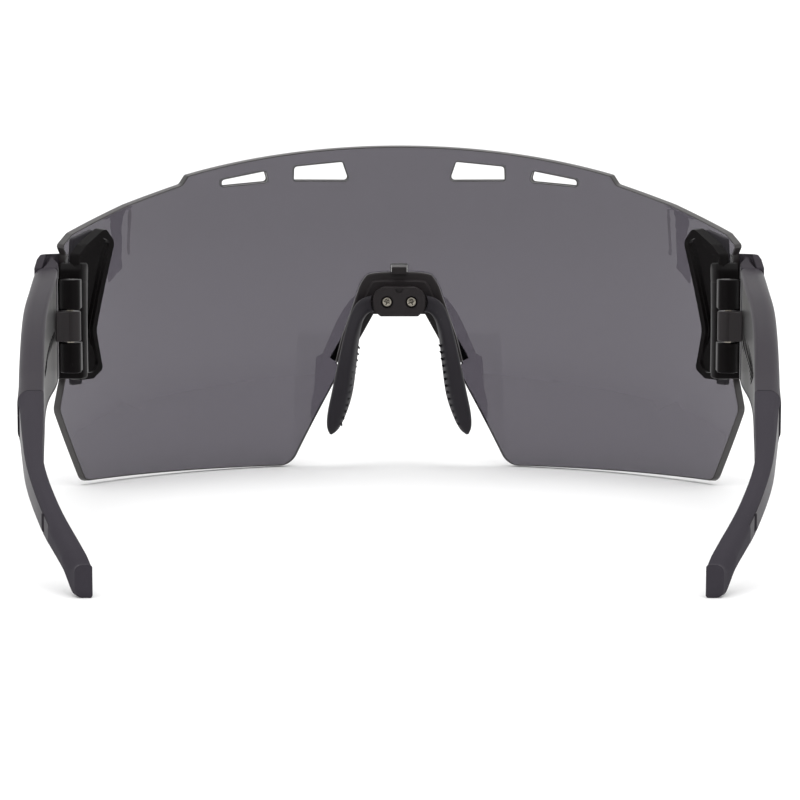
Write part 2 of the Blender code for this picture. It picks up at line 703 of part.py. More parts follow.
def roof_rings():
    """The cap's roof, in X and Z sections from the seam up to the lens's side edge."""
    low, shoulder = block_top() + GAP, TEMPLE_STATIONS[0][2]
    seam_inner = CAP_OUTER_X - TEMPLE_STATIONS[0][4]
    inner_places = (seam_inner, seam_inner, seam_inner + 0.3, seam_inner + 1.1, EDGE_X + GAP)
    rings = []
    for k, inner in enumerate(inner_places):
        share = k / (len(inner_places) - 1)
        y = SEAM_Y + share * (LUG_SEAM_BEHIND_EDGE - 0.1)
        top = shoulder + share * (NOTCH_TOP - shoulder - 0.2)
        outer = CAP_OUTER_X - 0.5 - 2.1 * share
        slope_in = min(1.3, 0.4 * (outer - inner))
        corners = [(inner, low), (outer, low), (outer, top - slope_in)]
        corners += [(outer - slope_in, top), (inner + 0.3, top), (inner, top - 0.3)]
        rings.append([Vector((x, y, z)) for x, z in corners])
    return rings


def cap_section(height, lip=CAP_LIP, pull_in=0.0, rear_shift=0.0):
    """The outer cap in plan: a lip over the lens's front, then a wall round the hinge block."""
    block = lug_section(height, rear_shift)
    outer = CAP_OUTER_X - pull_in
    front = -GAP - lip
    lip_and_nose = plan(
        height,
        (EDGE_ARC - CAP_LIP_REACH, -GAP),
        (EDGE_ARC - CAP_LIP_REACH, front * 0.8),
        (EDGE_ARC - 1.0, front - 0.2),
        (EDGE_ARC + 1.0, front - 0.3),
    )
    rear = [Vector((outer - 0.6, SEAM_Y + 2.4 + rear_shift / 2)), Vector((outer, SEAM_Y + rear_shift))]
    inside = [block[5] + Vector((GAP, 0)), block[4] + Vector((GAP, GAP * 0.4)), block[3] + Vector((GAP, GAP))]
    return lip_and_nose + rear + inside


def sections_loft(levels):
    """A loft of plan outlines, each at its own height."""
    return loft([[Vector((p.x, p.y, z)) for p in outline] for outline, z in levels])


def knuckle_heights():
    """(low, high) of the lug's lower knuckle, the temple's knuckle and the lug's upper one."""
    low = HINGE_Z - 1.5 * KNUCKLE_HEIGHT - GAP
    step = KNUCKLE_HEIGHT + GAP
    return [(low + k * step, low + k * step + KNUCKLE_HEIGHT) for k in range(3)]


def block_top():
    """Top of the hinge block, just below the top of the upper knuckle."""
    return knuckle_heights()[2][1] - 0.5


def build_lug(label, side, finish):
    """The carrier on the inside of the lens: panel, rim, hinge block and two knuckles."""
    panel = plate(rounded(panel_corners(0)), PANEL_FRONT, PANEL_BACK + LUG_RIM_HEIGHT)
    lug = node(f"lug_carrier_{label}", panel, side, finish)
    pocket = rounded(panel_corners(LUG_RIM_WIDTH, 1.0))
    cut(lug, side, plate(pocket, PANEL_BACK, PANEL_BACK + LUG_RIM_HEIGHT + 1))
    above_rim = PANEL_BACK + LUG_RIM_HEIGHT + 1
    cut(lug, side, plate(rounded(slot_corners()), PANEL_BACK - LUG_SLOT_DEPTH, above_rim))
    low, shoulder = NOTCH_BOTTOM, station_at(0)[2]
    heights = [low + (block_top() - low) * k / 4 for k in range(5)]
    join(lug, side, sections_loft([(lug_section(z), z) for z in heights]))
    ridge = [(block_top() - 0.6, 0), (shoulder - 0.4, 0), (shoulder + 1, 1.4)]
    join(lug, side, sections_loft([(ridge_section(z, shift), z) for z, shift in ridge]))
    lower, _, upper = knuckle_heights()
    for bottom, top in (lower, upper):
        join(lug, side, rod(HINGE_X, HINGE_Y, KNUCKLE_RADIUS, bottom, top))
        left, right = HINGE_X - KNUCKLE_RADIUS + 0.1, HINGE_X + KNUCKLE_RADIUS - 0.3
        corners = ((left, HINGE_Y), (right, HINGE_Y), (right, SEAM_Y + OVERLAP), (left, SEAM_Y + OVERLAP))
        join(lug, side, prism([Vector(c) for c in corners], bottom + 0.02, top - 0.02))
    cut(lug, side, rod(HINGE_X, HINGE_Y, PIN_RADIUS + PIN_CLEARANCE, lower[0] - 1, upper[1] + 1))
    head_floor = upper[1] - PIN_HEAD_HEIGHT - GAP
    cut(lug, side, rod(HINGE_X, HINGE_Y, PIN_HEAD_RADIUS + PIN_CLEARANCE, head_floor, upper[1] + 1))


def build_gasket(label, side, finish):
    gasket = plate(rounded(gasket_corners()), GASKET_FRONT, GASKET_FRONT + GASKET_THICKNESS)
    node(f"lens_gasket_{label}", gasket, side, finish)


def build_cap(label, side, finish):
    """The outer cap that closes the channel round the lens's side edge."""
    low, high = NOTCH_BOTTOM - 0.2, NOTCH_TOP
    shoulder = station_at(0)[2]
    rise = high - shoulder
    levels = [
        (cap_section(low, CAP_LIP * 0.6, 0.8), low),
        (cap_section(low + 1.4), low + 1.4),
        *[(cap_section(low + k), low + k) for k in (6, 12, 18)],
        (cap_section(shoulder), shoulder),
        (cap_section(high - 1, CAP_LIP, 0.3, rise - 1), high - 1),
        (cap_section(high, CAP_LIP * 0.6, 0.9, rise), high),
    ]
    cap = node(f"lug_cap_{label}", sections_loft(levels), side, finish)
    join(cap, side, loft(roof_rings()))


def build_pin(label, side, finish):
    lower, _, upper = knuckle_heights()
    head_low = upper[1] - PIN_HEAD_HEIGHT
    shank = rod(HINGE_X, HINGE_Y, PIN_RADIUS, lower[0] + 0.2, head_low + 0.2)
    pin = node(f"hinge_pin_{label}", shank, side, finish)
    join(pin, side, rod(HINGE_X, HINGE_Y, PIN_HEAD_RADIUS, head_low, upper[1] - 0.1))


# ---------------------------------------------------------------- temples

def temple_path():
    """Stations along the temple, none of them below the table."""
    path = smooth_path(TEMPLE_STATIONS, 2)
    return [Vector((*station[:3], max(0.0, station[3]), station[4])) for station in path]


def temple_section(inward, top, bottom, thickness):
    """The temple's outline in X and Z, squarer inside than outside."""
    outer = TEMPLE_OUTER_X - inward
    inner = outer - thickness
    size = min(thickness, top - bottom)
    soft, crisp = 0.42 * size, 0.16 * size
    corners = [(inner, bottom, crisp), (outer, bottom, soft), (outer, top, soft), (inner, top, crisp)]
    return rounded(corners, steps=3)


def temple_rings(first, last, section):
    """Rings of the temple between two shares of its reach."""
    stations = [s for s in temple_path() if first < s[0] < last]
    stations = [station_at(first), *stations, station_at(last)]
    front = SEAM_Y - GAP
    return [
        [Vector((p.x, front - share * TEMPLE_REACH, p.y)) for p in section(inward, top, bottom, thickness)]
        for share, inward, top, bottom, thickness in stations
    ]


def station_at(share):
    path = temple_path()
    for before, after in zip(path, path[1:]):
        if share <= after[0]:
            return before.lerp(after, (share - before[0]) / (after[0] - before[0]))
    return path[-1]


def strip_section(grow, outward):
    """The hard strip that shows on the grip's outer side, in X and Z."""
    def outline(inward, top, bottom, thickness):
        outer = TEMPLE_OUTER_X - inward + outward
        inner = TEMPLE_OUTER_X - inward - STRIP_DEPTH - grow
        middle = (top + bottom) / 2
        half = (top - bottom) * STRIP_HALF_HEIGHT_SHARE + grow
        low, high = middle - half, middle + half
        corners = ((inner, low), (outer, low), (outer, high), (inner, high))
        return [Vector(c) for c in corners]
    return outline


def inlay_section(grow, proud):
    """The inlay let into the temple's inner face, in X and Z."""
    def outline(inward, top, bottom, thickness):
        face = TEMPLE_OUTER_X - inward - thickness
        inner, outer = face - proud, face + INLAY_THICKNESS + grow
        low, high = bottom + INLAY_MARGIN - grow, top - INLAY_MARGIN + grow
        return [Vector(c) for c in ((inner, low), (outer, low), (outer, high), (inner, high))]
    return outline


def build_temple(label, side, hard, soft, trim):
    """The hard arm with its knuckle, the rubber grip on its rear half, and the inner inlay."""
    pivot = pivot_at(f"hinge_axis_{label}", side, HINGE_X, HINGE_Y, HINGE_Z)
    arm = node(f"temple_arm_{label}", loft(temple_rings(0, GRIP_START, temple_section)), side, hard, pivot)
    start = GRIP_START - 2.0 / TEMPLE_REACH
    join(arm, side, loft(temple_rings(start, STRIP_END, strip_section(0, -0.1))))
    lower, middle, upper = knuckle_heights()
    turning = KNUCKLE_RADIUS + GAP
    for bottom, top in (lower, upper):
        cut(arm, side, rod(HINGE_X, HINGE_Y, turning, bottom - GAP, top + GAP, 32))
        left, right = HINGE_X - turning, HINGE_X + KNUCKLE_RADIUS
        corners = ((left, HINGE_Y), (right, HINGE_Y), (right, SEAM_Y + 1), (left, SEAM_Y + 1))
        cut(arm, side, prism([Vector(c) for c in corners], bottom - GAP, top + GAP))
    join(arm, side, rod(HINGE_X, HINGE_Y, KNUCKLE_RADIUS, *middle))
    web = ((HINGE_X, HINGE_Y - KNUCKLE_RADIUS), (HINGE_X + 4, HINGE_Y - KNUCKLE_RADIUS - 2),
           (HINGE_X + 4, HINGE_Y + KNUCKLE_RADIUS - 0.2), (HINGE_X, HINGE_Y + KNUCKLE_RADIUS - 0.2))
    join(arm, side, prism([Vector(c) for c in web], middle[0] + 0.02, middle[1] - 0.02))
    cut(arm, side, rod(HINGE_X, HINGE_Y, PIN_RADIUS + PIN_CLEARANCE, middle[0] - 1, middle[1] + 1))
    gap = GAP / TEMPLE_REACH
    cut(arm, side, loft(temple_rings(INLAY_FROM - gap, INLAY_TO + gap, inlay_section(GAP, 2.0))))
    inlay = loft(temple_rings(INLAY_FROM, INLAY_TO, inlay_section(0, 0)))
    node(f"temple_inlay_{label}", inlay, side, trim, pivot)
    grip_from = GRIP_START + gap
    grip = node(f"temple_grip_{label}", loft(temple_rings(grip_from, 1.0, temple_section)), side, soft, pivot)
    channel_from, channel_to = grip_from - 0.01, STRIP_END + gap
    cut(grip, side, loft(temple_rings(channel_from, channel_to, strip_section(GAP, 2.0))))


# ---------------------------------------------------------------- the whole object

def main():
    for obj in list(bpy.data.objects):
        bpy.data.objects.remove(obj)
    smoke = material("smoke_lens", (0.10, 0.095, 0.11), 0.05, transmission=0.9)
    black = material("black_nylon", (0.018, 0.017, 0.018), 0.5)
    grey = material("grey_nylon", (0.045, 0.046, 0.05), 0.38)
    rubber = material("grip_rubber", (0.04, 0.042, 0.045), 0.7)
    steel = material("screw_steel", (0.62, 0.6, 0.56), 0.3, metallic=1.0)
    build_lens(smoke)
    build_bridge_clip(black)
    build_retainer(black)
    for label, side in SIDES.items():
        build_screw(label, side, steel)
        build_pad(label, side, rubber, steel)
        build_lug(label, side, black)
        build_cap(label, side, grey)
        build_gasket(label, side, rubber)
        build_pin(label, side, steel)
        build_temple(label, side, grey, rubber, black)


main()
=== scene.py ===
"""Wraparound shield sunglasses: the finished pieces, their materials and a small studio.

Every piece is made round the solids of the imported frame, in the frame's own place. The wearer
looks along +Y and +X is the wearer's right. Shapes are worked out in millimetres, on the
wearer's right, and mirrored for the left.
"""

import json
import math

import bmesh
import bpy
from bpy.props import FloatProperty, FloatVectorProperty, IntProperty, PointerProperty
from mathutils import Matrix, Vector


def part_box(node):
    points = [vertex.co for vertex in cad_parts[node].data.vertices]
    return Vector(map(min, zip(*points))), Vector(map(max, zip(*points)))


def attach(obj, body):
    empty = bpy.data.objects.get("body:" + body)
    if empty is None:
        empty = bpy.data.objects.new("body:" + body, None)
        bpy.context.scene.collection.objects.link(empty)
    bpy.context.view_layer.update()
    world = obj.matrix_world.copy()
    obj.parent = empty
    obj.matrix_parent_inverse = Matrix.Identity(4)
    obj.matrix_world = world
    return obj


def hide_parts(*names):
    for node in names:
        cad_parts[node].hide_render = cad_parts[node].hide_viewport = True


bl_info = {
    "name": "Shield Sunglasses",
    "version": (1, 0, 0),
    "blender": (4, 5, 0),
    "location": "View3D > Sidebar > Sunglasses",
    "description": "Builds wraparound shield sunglasses with a clip-in bridge and folding temples",
    "category": "Add Mesh",
}

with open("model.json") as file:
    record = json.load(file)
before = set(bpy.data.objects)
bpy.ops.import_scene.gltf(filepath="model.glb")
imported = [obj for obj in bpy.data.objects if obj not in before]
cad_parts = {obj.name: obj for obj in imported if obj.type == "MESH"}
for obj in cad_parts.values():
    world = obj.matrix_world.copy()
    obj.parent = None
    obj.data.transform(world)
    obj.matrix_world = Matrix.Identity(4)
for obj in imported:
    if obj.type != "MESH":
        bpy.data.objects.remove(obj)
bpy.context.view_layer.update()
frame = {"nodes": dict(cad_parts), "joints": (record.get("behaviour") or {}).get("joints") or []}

MM = 0.001
GAP = 0.3  # clearance between two pieces
PATH_STEPS = 6  # steps between two stations of a pad arm or a temple
BLEND_ANGLE = 50.0  # edges sharper than this stay sharp in shading
CREASE_ANGLE = 38.0  # the same, for the small hinge pieces
LEFT, RIGHT = -1, 1
SIDES = {"left": LEFT, "right": RIGHT}
JOINTS = {joint["name"]: joint for joint in frame["joints"]}


def box_mm(node):
    """A CAD node's lowest and highest corner, in millimetres."""
    return [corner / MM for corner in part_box(node)]


# ---------------------------------------------------------------- sizes

# Lens: widths run along its curved front surface, heights are above the table.
LENS_RADIUS = 84.0
LENS_RISE_RADIUS = 220.0
LENS_RISE_CENTRE = 30.0
LENS_THICKNESS = 1.8
LENS_HEIGHT = box_mm("lens_shield")[1].z
LENS_HALF_ARC = 83.5
LENS_FOOT_INSET = 6.2
LENS_FOOT_RISE = 0.7
LENS_FOOT_ROUND = 4.5
BROW_HALF_ARC = 49.0
BROW_DROP = 5.9
BROW_STEP = 1.9
SHOULDER_INSET = 4.1
SHOULDER_DROP = 17.1
SIDE_CORNER_HEIGHT = 15.9
NOTCH_DEPTH = 2.4
NOTCH_RAMP = 6.5
NOTCH_BELOW_SHOULDER = 4.2
VENT_MARGIN = 2.6
VENT_RADIUS = 0.9
# Each vent: arc at its top inner, top outer, bottom inner and bottom outer corner, then heights.
VENTS = {
    "inner": (12.6, 24.0, 10.9, 24.0, 4.55, 3.4),
    "outer": (30.2, 41.0, 29.2, 40.7, 2.8, 1.8),
}
NOSE_APEX_HEIGHT = 42.7
NOSE_SLOPE = 0.576
NOSE_ROUND = 4.7
CLIP_SEAT = 1.5  # how much wider the cut-out is where the clip sits in it
TAB_SLOT_HALF_WIDTH = 2.0
TAB_SLOT_BOTTOM = 40.9
TAB_SLOT_TOP = 43.4
TAB_DROP = 0.5

# Bridge clip and the screwed stack behind it.
CLIP_BOTTOM = 22.0
CLIP_WEB = 1.5
CLIP_LIP = 1.2
CLIP_LIP_REACH = 1.6
CLIP_PLATE = 1.9
CLIP_FOOT_REACH = 0.6
CLIP_WING_REACH = 2.0
CLIP_SIDE_REACH = 3.4
CLIP_SHOULDER_REACH = 4.4
CLIP_TOP_REACH = 2.2
STACK_RADIUS = 3.1
TONGUE_THICKNESS = 0.8
RETAINER_RIM = 0.9
SCREW_RADIUS = 0.6
SCREW_HEAD_RADIUS = 1.1
SCREW_HEAD_HEIGHT = 0.55
SCREW_SINK = 0.15  # how far the head lies below the retainer's back
SCREW_SHANK = 5.0
SCREW_CROSS = (0.72, 0.13)  # half length and half width of each slot of the cross

# Nose pad arms: (out from the middle, behind the tongue plane, height below the screw,
# half thickness, half width) along each arm, from its root to its tip.
PAD_STATIONS = (
    (5.2, 0.0, 0.4, 1.75, 1.5),
    (7.5, 0.2, 1.2, 1.7, 1.5),
    (9.1, 1.0, 3.6, 1.5, 2.1),
    (10.1, 2.3, 7.6, 1.5, 3.1),
    (11.0, 3.6, 12.8, 1.75, 3.8),
    (12.1, 4.3, 19.0, 2.0, 3.9),
    (13.3, 4.4, 23.6, 1.8, 3.2),
    (14.1, 4.2, 26.6, 1.2, 2.0),
    (14.5, 4.1, 28.0, 0.3, 0.7),
)
PAD_FLARE = 10.0
PAD_RIBS_FROM, PAD_RIBS_END = 20, 9  # steps left free of ribs at the root and at the tip

# Side lugs and hinges.
LUG_THICKNESS = 1.6
LUG_RIM_HEIGHT = 0.8
LUG_RIM_WIDTH = 1.3
LUG_WIDTH = 8.6
LUG_WAIST = 5.2
LUG_TOP_RISE = 1.6
LUG_SLOT_WIDTH = 1.4
LUG_SLOT_DEPTH = 1.0
CAP_WALL = 1.6
CAP_LIP = 1.2
CAP_LIP_REACH = 3.4
GASKET_THICKNESS = 1.2
GASKET_RISE = 1.2
KNUCKLE_RADIUS = 2.1
KNUCKLE_HEIGHT = 6.0
KNUCKLE_EASE = 0.25
PIN_RADIUS = 0.7
PIN_HEAD_RADIUS = 1.3
PIN_HEAD_HEIGHT = 0.8

# Temples: (share of the reach, inward shift, top, bottom, thickness) from the seam to the tip.
TEMPLE_OUTBOARD = 4.2
TEMPLE_STATIONS = (
    (0.00, 0.2, 44.7, 22.3, 4.8),
    (0.10, 0.9, 42.7, 21.6, 5.1),
    (0.22, 1.7, 39.5, 20.7, 4.8),
    (0.35, 3.2, 34.7, 19.8, 4.6),
    (0.50, 5.3, 27.7, 17.8, 4.6),
    (0.62, 7.6, 22.9, 15.3, 4.0),
    (0.74, 10.4, 17.8, 12.0, 3.1),
    (0.86, 14.6, 12.6, 7.6, 3.2),
    (0.95, 19.0, 7.8, 3.6, 3.6),
    (0.97, 20.0, 6.5, 2.5, 3.8),
    (0.988, 21.4, 5.2, 0.0, 3.3),
    (1.00, 22.2, 5.3, 0.0, 2.8),
)
GRIP_START = 0.52
STRIP_END = 0.90
STRIP_DEPTH = 1.3
STRIP_HALF_HEIGHT_SHARE = 0.34
STRIP_SINK = 0.12
INLAY_FROM = 0.045
INLAY_TO = 0.48
INLAY_THICKNESS = 0.9
INLAY_MARGIN = 0.8
INLAY_SINK = 0.12
INLAY_RIB_LENGTH = 4.2
INLAY_RIB_WIDTH = 0.8

# Places that follow from the frame and the sizes above.
HINGE = Vector(JOINTS["temple_right_fold"]["pos_m"]) / MM
PAD_AXIS = Vector(JOINTS["pad_right_spread"]["pos_m"]) / MM
APEX_Y = box_mm("lens_shield")[1].y
EDGE_ARC = LENS_HALF_ARC - NOTCH_DEPTH
EDGE_X = LENS_RADIUS * math.sin(EDGE_ARC / LENS_RADIUS)
SEAM_Y = box_mm("temple_arm_right")[1].y + GAP
TEMPLE_REACH = SEAM_Y - GAP - box_mm("temple_grip_right")[0].y
TEMPLE_OUTER_X = EDGE_X + TEMPLE_OUTBOARD
CAP_OUTER_X = TEMPLE_OUTER_X - TEMPLE_STATIONS[0][1]
SHOULDER_Z = LENS_HEIGHT - SHOULDER_DROP
NOTCH_TOP = SHOULDER_Z - NOTCH_BELOW_SHOULDER
NOTCH_BOTTOM = SIDE_CORNER_HEIGHT + NOTCH_RAMP
NOSE_CENTRE_Z = NOSE_APEX_HEIGHT - NOSE_ROUND / math.sin(math.atan(NOSE_SLOPE))
PANEL_TOP = SHOULDER_Z + LUG_TOP_RISE
PANEL_BOTTOM = NOTCH_BOTTOM - 0.5
PANEL_WAIST = PANEL_BOTTOM + 0.32 * (PANEL_TOP - PANEL_BOTTOM)
GASKET_FRONT = LENS_THICKNESS + GAP
PANEL_FRONT = GASKET_FRONT + GASKET_THICKNESS + GAP
PANEL_BACK = PANEL_FRONT + LUG_THICKNESS
PLATE_FRONT = LENS_THICKNESS + GAP
BOSS_BACK_Y = PAD_AXIS.y + TONGUE_THICKNESS / 2 + GAP
RETAINER_FRONT_Y = PAD_AXIS.y - TONGUE_THICKNESS / 2 - GAP
RETAINER_BACK_Y = box_mm("pad_retainer")[0].y
LUG_SEAM_BEHIND_EDGE = APEX_Y - LENS_RADIUS * (1 - math.cos(EDGE_ARC / LENS_RADIUS)) - SEAM_Y

CAMERA_HEIGHT = 77.3
CAMERA_PITCH = math.radians(6.52)
CAMERA_FOCAL = 116.5
CAMERA_SHIFT = 0.001


# ---------------------------------------------------------------- what a user may change

def length(label, text, size):
    """A length property, whose default is given in millimetres."""
    return FloatProperty(
        name=label, description=text, default=size * MM, min=0, unit="LENGTH", precision=5
    )


def colour(label, text, red, green, blue):
    return FloatVectorProperty(
        name=label, description=text, default=(red, green, blue), min=0, max=1, size=3, subtype="COLOR"
    )


def factor(label, text, value, top=1.0):
    return FloatProperty(name=label, description=text, default=value, min=0, max=top, subtype="FACTOR")


class LensLook(bpy.types.PropertyGroup):
    tint: colour("Tint", "Smoke tint that light takes on in passing the lens", 0.079, 0.072, 0.087)
    edge: colour("Edge", "Colour of the cut and ground edge", 0.026, 0.023, 0.023)
    edge_round: length("Edge rounding", "Radius that the cut edge is broken to", 0.22)
    haze: factor("Haze", "Roughness of wiped fingerprints on the lens", 0.03)


class BridgeLook(bpy.types.PropertyGroup):
    edge_round: length("Edge rounding", "Radius on the clip's and the retainer's edges", 0.3)
    flange_step: length("Flange step", "Drop from the clip's ridge to its thin outer flange", 0.7)
    flange_width: length("Flange width", "Width of the clip's thin outer flange", 2.1)
    mark_depth: length("Mark depth", "Depth of the notch at the retainer's top", 0.45)


class PadLook(bpy.types.PropertyGroup):
    rib_count: IntProperty(name="Ribs", description="Number of ribs on each pad", default=13, min=0, max=30)
    rib_length: length("Rib length", "Length of a rib across the pad", 4.6)
    rib_width: length("Rib width", "Width of a rib along the pad", 0.62)
    rib_height: length("Rib height", "How far a rib stands out of the pad", 0.12)


class LugLook(bpy.types.PropertyGroup):
    edge_round: length("Edge rounding", "Radius on the panel's moulded edges", 0.35)
    block_round: length("Block rounding", "Radius on the hinge block's and the cap's edges", 0.45)


class TempleLook(bpy.types.PropertyGroup):
    edge_round: length("Edge rounding", "Radius on the arm's and the grip's cut edges", 0.22)
    seam_sweep: length("Seam sweep", "How far a seam runs back on the temple's outer side", 1.7)
    rib_count: IntProperty(name="Ribs", description="Number of ribs on each inlay", default=11, min=0, max=30)
    rib_height: length("Rib height", "How far a rib stands out of the inlay", 0.16)


class FinishLook(bpy.types.PropertyGroup):
    black: colour("Black nylon", "Colour of the bridge and the lugs", 0.0165, 0.0135, 0.0145)
    grey: colour("Grey nylon", "Colour of the caps and the temples", 0.038, 0.0335, 0.04)
    rubber: colour("Rubber", "Colour of the temple grips and the nose pads", 0.041, 0.037, 0.045)
    steel: colour("Steel", "Colour of the screws and the hinge pins", 0.28, 0.26, 0.22)
    grain: length("Grain size", "Size of the moulded grain", 0.16)
    grain_depth: factor("Grain depth", "Strength of the moulded grain", 0.22)


class StudioLook(bpy.types.PropertyGroup):
    paper: colour("Paper", "Colour of the seamless paper", 0.93, 0.93, 0.93)
    daylight: FloatProperty(
        name="Daylight", description="Brightness of the surroundings", default=1.05, min=0
    )
    top_power: FloatProperty(
        name="Top light", description="Power of the overhead softbox", default=9.0, min=0, unit="POWER"
    )
    distance: length("Camera distance", "Camera's distance behind the middle of the glasses", 480.7)
    opening: length("Dark opening", "Radius of the dark opening behind the camera", 245.0)


LOOKS = {
    "lens": LensLook,
    "bridge": BridgeLook,
    "pads": PadLook,
    "lugs": LugLook,
    "temples": TempleLook,
    "finish": FinishLook,
    "studio": StudioLook,
}


def look(part):
    return getattr(bpy.context.scene, f"sunglasses_{part}")


# ---------------------------------------------------------------- outlines

def rounded(corners, steps=6):
    """The outline through (x, y, radius) corners, each with its arc."""
    points = []
    for index, (x, y, radius) in enumerate(corners):
        here = Vector((x, y))
        before = Vector(corners[index - 1][:2]) - here
        after = Vector(corners[(index + 1) % len(corners)][:2]) - here
        half = before.angle(after) / 2
        if radius == 0 or half > math.radians(86):
            points.append(here)
            continue
        run = min(radius / math.tan(half), 0.48 * before.length, 0.48 * after.length)
        centre = here + (before.normalized() + after.normalized()).normalized() * run / math.cos(half)
        start = here + before.normalized() * run - centre
        end = here + after.normalized() * run - centre
        sweep = start.angle_signed(end)
        for step in range(steps + 1):
            points.append(centre + Matrix.Rotation(-sweep * step / steps, 2) @ start)
    return points


def circle(centre_x, centre_y, radius, segments=40):
    turns = [2 * math.pi * k / segments for k in range(segments)]
    return [Vector((centre_x + radius * math.cos(a), centre_y + radius * math.sin(a))) for a in turns]


def rectangle(left, low, right, high, radius=0.0):
    corners = [(left, low, radius), (right, low, radius), (right, high, radius), (left, high, radius)]
    return rounded(corners, steps=4)


def brow_height(arc):
    """Height of the lens's raised brow edge at an arc from the middle."""
    return LENS_HEIGHT - BROW_DROP * (arc / BROW_HALF_ARC) ** 2


def nose_half_arc(height):
    return (NOSE_APEX_HEIGHT - height) * NOSE_SLOPE


def seat_half_arc(height):
    """Half width of the cut-out where the clip sits in it."""
    return nose_half_arc(height) + CLIP_SEAT * math.hypot(1, NOSE_SLOPE)


def lens_outline():
    """The lens's edge in arc and height, as one closed outline."""
    brow_end = LENS_HEIGHT - BROW_DROP
    shoulder_arc = LENS_HALF_ARC - SHOULDER_INSET
    slope_middle = (BROW_HALF_ARC + shoulder_arc) / 2
    seat_bottom = CLIP_BOTTOM - 1.2 * GAP
    step_bottom = seat_bottom - CLIP_SEAT * math.sin(math.atan(NOSE_SLOPE))
    seat_apex = NOSE_APEX_HEIGHT + CLIP_SEAT * math.hypot(1, NOSE_SLOPE) / NOSE_SLOPE
    right = [
        (seat_half_arc(seat_bottom), seat_bottom, 0.3),
        (nose_half_arc(step_bottom), step_bottom, 0.3),
        (nose_half_arc(0), 0, LENS_FOOT_ROUND),
        (LENS_HALF_ARC - LENS_FOOT_INSET, LENS_FOOT_RISE, 2.0),
        (LENS_HALF_ARC, SIDE_CORNER_HEIGHT, 2.5),
        (EDGE_ARC, NOTCH_BOTTOM, 1.5),
        (EDGE_ARC, NOTCH_TOP, 0.6),
        (LENS_HALF_ARC - 1.2, NOTCH_TOP + 1.8, 0.8),
        (shoulder_arc, SHOULDER_Z, 1.6),
        (slope_middle, (brow_end - BROW_STEP + SHOULDER_Z) / 2 + 0.7, 30.0),
        (BROW_HALF_ARC + 1.3, brow_end - BROW_STEP, 1.2),
        (BROW_HALF_ARC, brow_end, 0.6),
    ]
    brow = [(BROW_HALF_ARC * k / 24, brow_height(BROW_HALF_ARC * k / 24), 0) for k in range(23, -24, -1)]
    left = [(-arc, height, radius) for arc, height, radius in reversed(right)]
    return rounded(right + brow + left + [(0, seat_apex, NOSE_ROUND + CLIP_SEAT)], steps=8)


def vent_outlines():
    """The four vents under the brow, in arc and height."""
    outlines = []
    for side in SIDES.values():
        for top_in, top_out, bottom_in, bottom_out, height_in, height_out in VENTS.values():
            top_at_in = brow_height(top_in) - VENT_MARGIN
            top_at_out = brow_height(top_out) - VENT_MARGIN
            corners = [
                (side * top_in, top_at_in, VENT_RADIUS),
                (side * top_out, top_at_out, VENT_RADIUS),
                (side * bottom_out, top_at_out - height_out, VENT_RADIUS * 0.8),
                (side * bottom_in, top_at_in - height_in, VENT_RADIUS),
            ]
            outlines.append(rounded(corners, steps=8))
    return outlines


def inset(outline, distance):
    """The outline with its edge moved inwards, whichever way it runs."""
    area = sum(outline[k - 1].cross(p) for k, p in enumerate(outline))
    turn = math.copysign(distance, area)
    moved = []
    for k, here in enumerate(outline):
        before = (here - outline[k - 1]).normalized()
        after = (outline[(k + 1) % len(outline)] - here).normalized()
        along = (before + after).normalized()
        miter = max(0.6, math.sqrt((1 + before.dot(after)) / 2))
        moved.append(here + Vector((-along.y, along.x)) * turn / miter)
    return moved


# ---------------------------------------------------------------- solids, in millimetres

def on_lens(arc, height, depth):
    """The point at this arc and height, this far behind the lens's front surface."""
    tilt = math.asin((height - LENS_RISE_CENTRE) / LENS_RISE_RADIUS)
    lean = LENS_RISE_RADIUS * (1 - math.cos(tilt))
    radius = LENS_RADIUS - lean - depth * math.cos(tilt)
    angle = arc / LENS_RADIUS
    return Vector((
        radius * math.sin(angle),
        APEX_Y - LENS_RADIUS + radius * math.cos(angle),
        height - depth * math.sin(tilt),
    ))


def eased_levels(near, far, radius, steps=3):
    """(inset, depth) levels of a wall between two depths, with both of its edges rounded."""
    turns = [math.pi / 2 * k / steps for k in range(steps + 1)]
    sign = math.copysign(1, far - near)
    first = [(radius * (1 - math.sin(t)), near + sign * radius * (1 - math.cos(t))) for t in turns]
    return first + [(inward, near + far - depth) for inward, depth in reversed(first)]


def stack(outline, levels, holes=(), upright=False):
    """A closed solid of one outline at several levels. It runs back from the front, or upwards."""
    solid = bmesh.new()
    rings = []
    for inward, depth in levels:
        ring = []
        for index, loop in enumerate([outline, *holes]):
            edge = inset(loop, -inward if index else inward)
            spots = [(p.x, p.y, depth) if upright else (p.x, depth, p.y) for p in edge]
            ring.append([solid.verts.new(spot) for spot in spots])
        rings.append(ring)
    for first, second in zip(rings, rings[1:]):
        for near, far in zip(first, second):
            for k in range(len(near)):
                solid.faces.new((near[k - 1], near[k], far[k], far[k - 1]))
    for ring in (rings[0], rings[-1]):
        rim = [solid.edges.get((loop[k - 1], loop[k])) for loop in ring for k in range(len(loop))]
        bmesh.ops.triangle_fill(solid, edges=rim, use_beauty=True, use_dissolve=False)
    bmesh.ops.recalc_face_normals(solid, faces=solid.faces)
    return solid


def rod(x, y, radius, low, high, ease=0.15, segments=40):
    """An upright cylinder with eased ends."""
    return stack(circle(x, y, radius, segments), eased_levels(low, high, ease), upright=True)


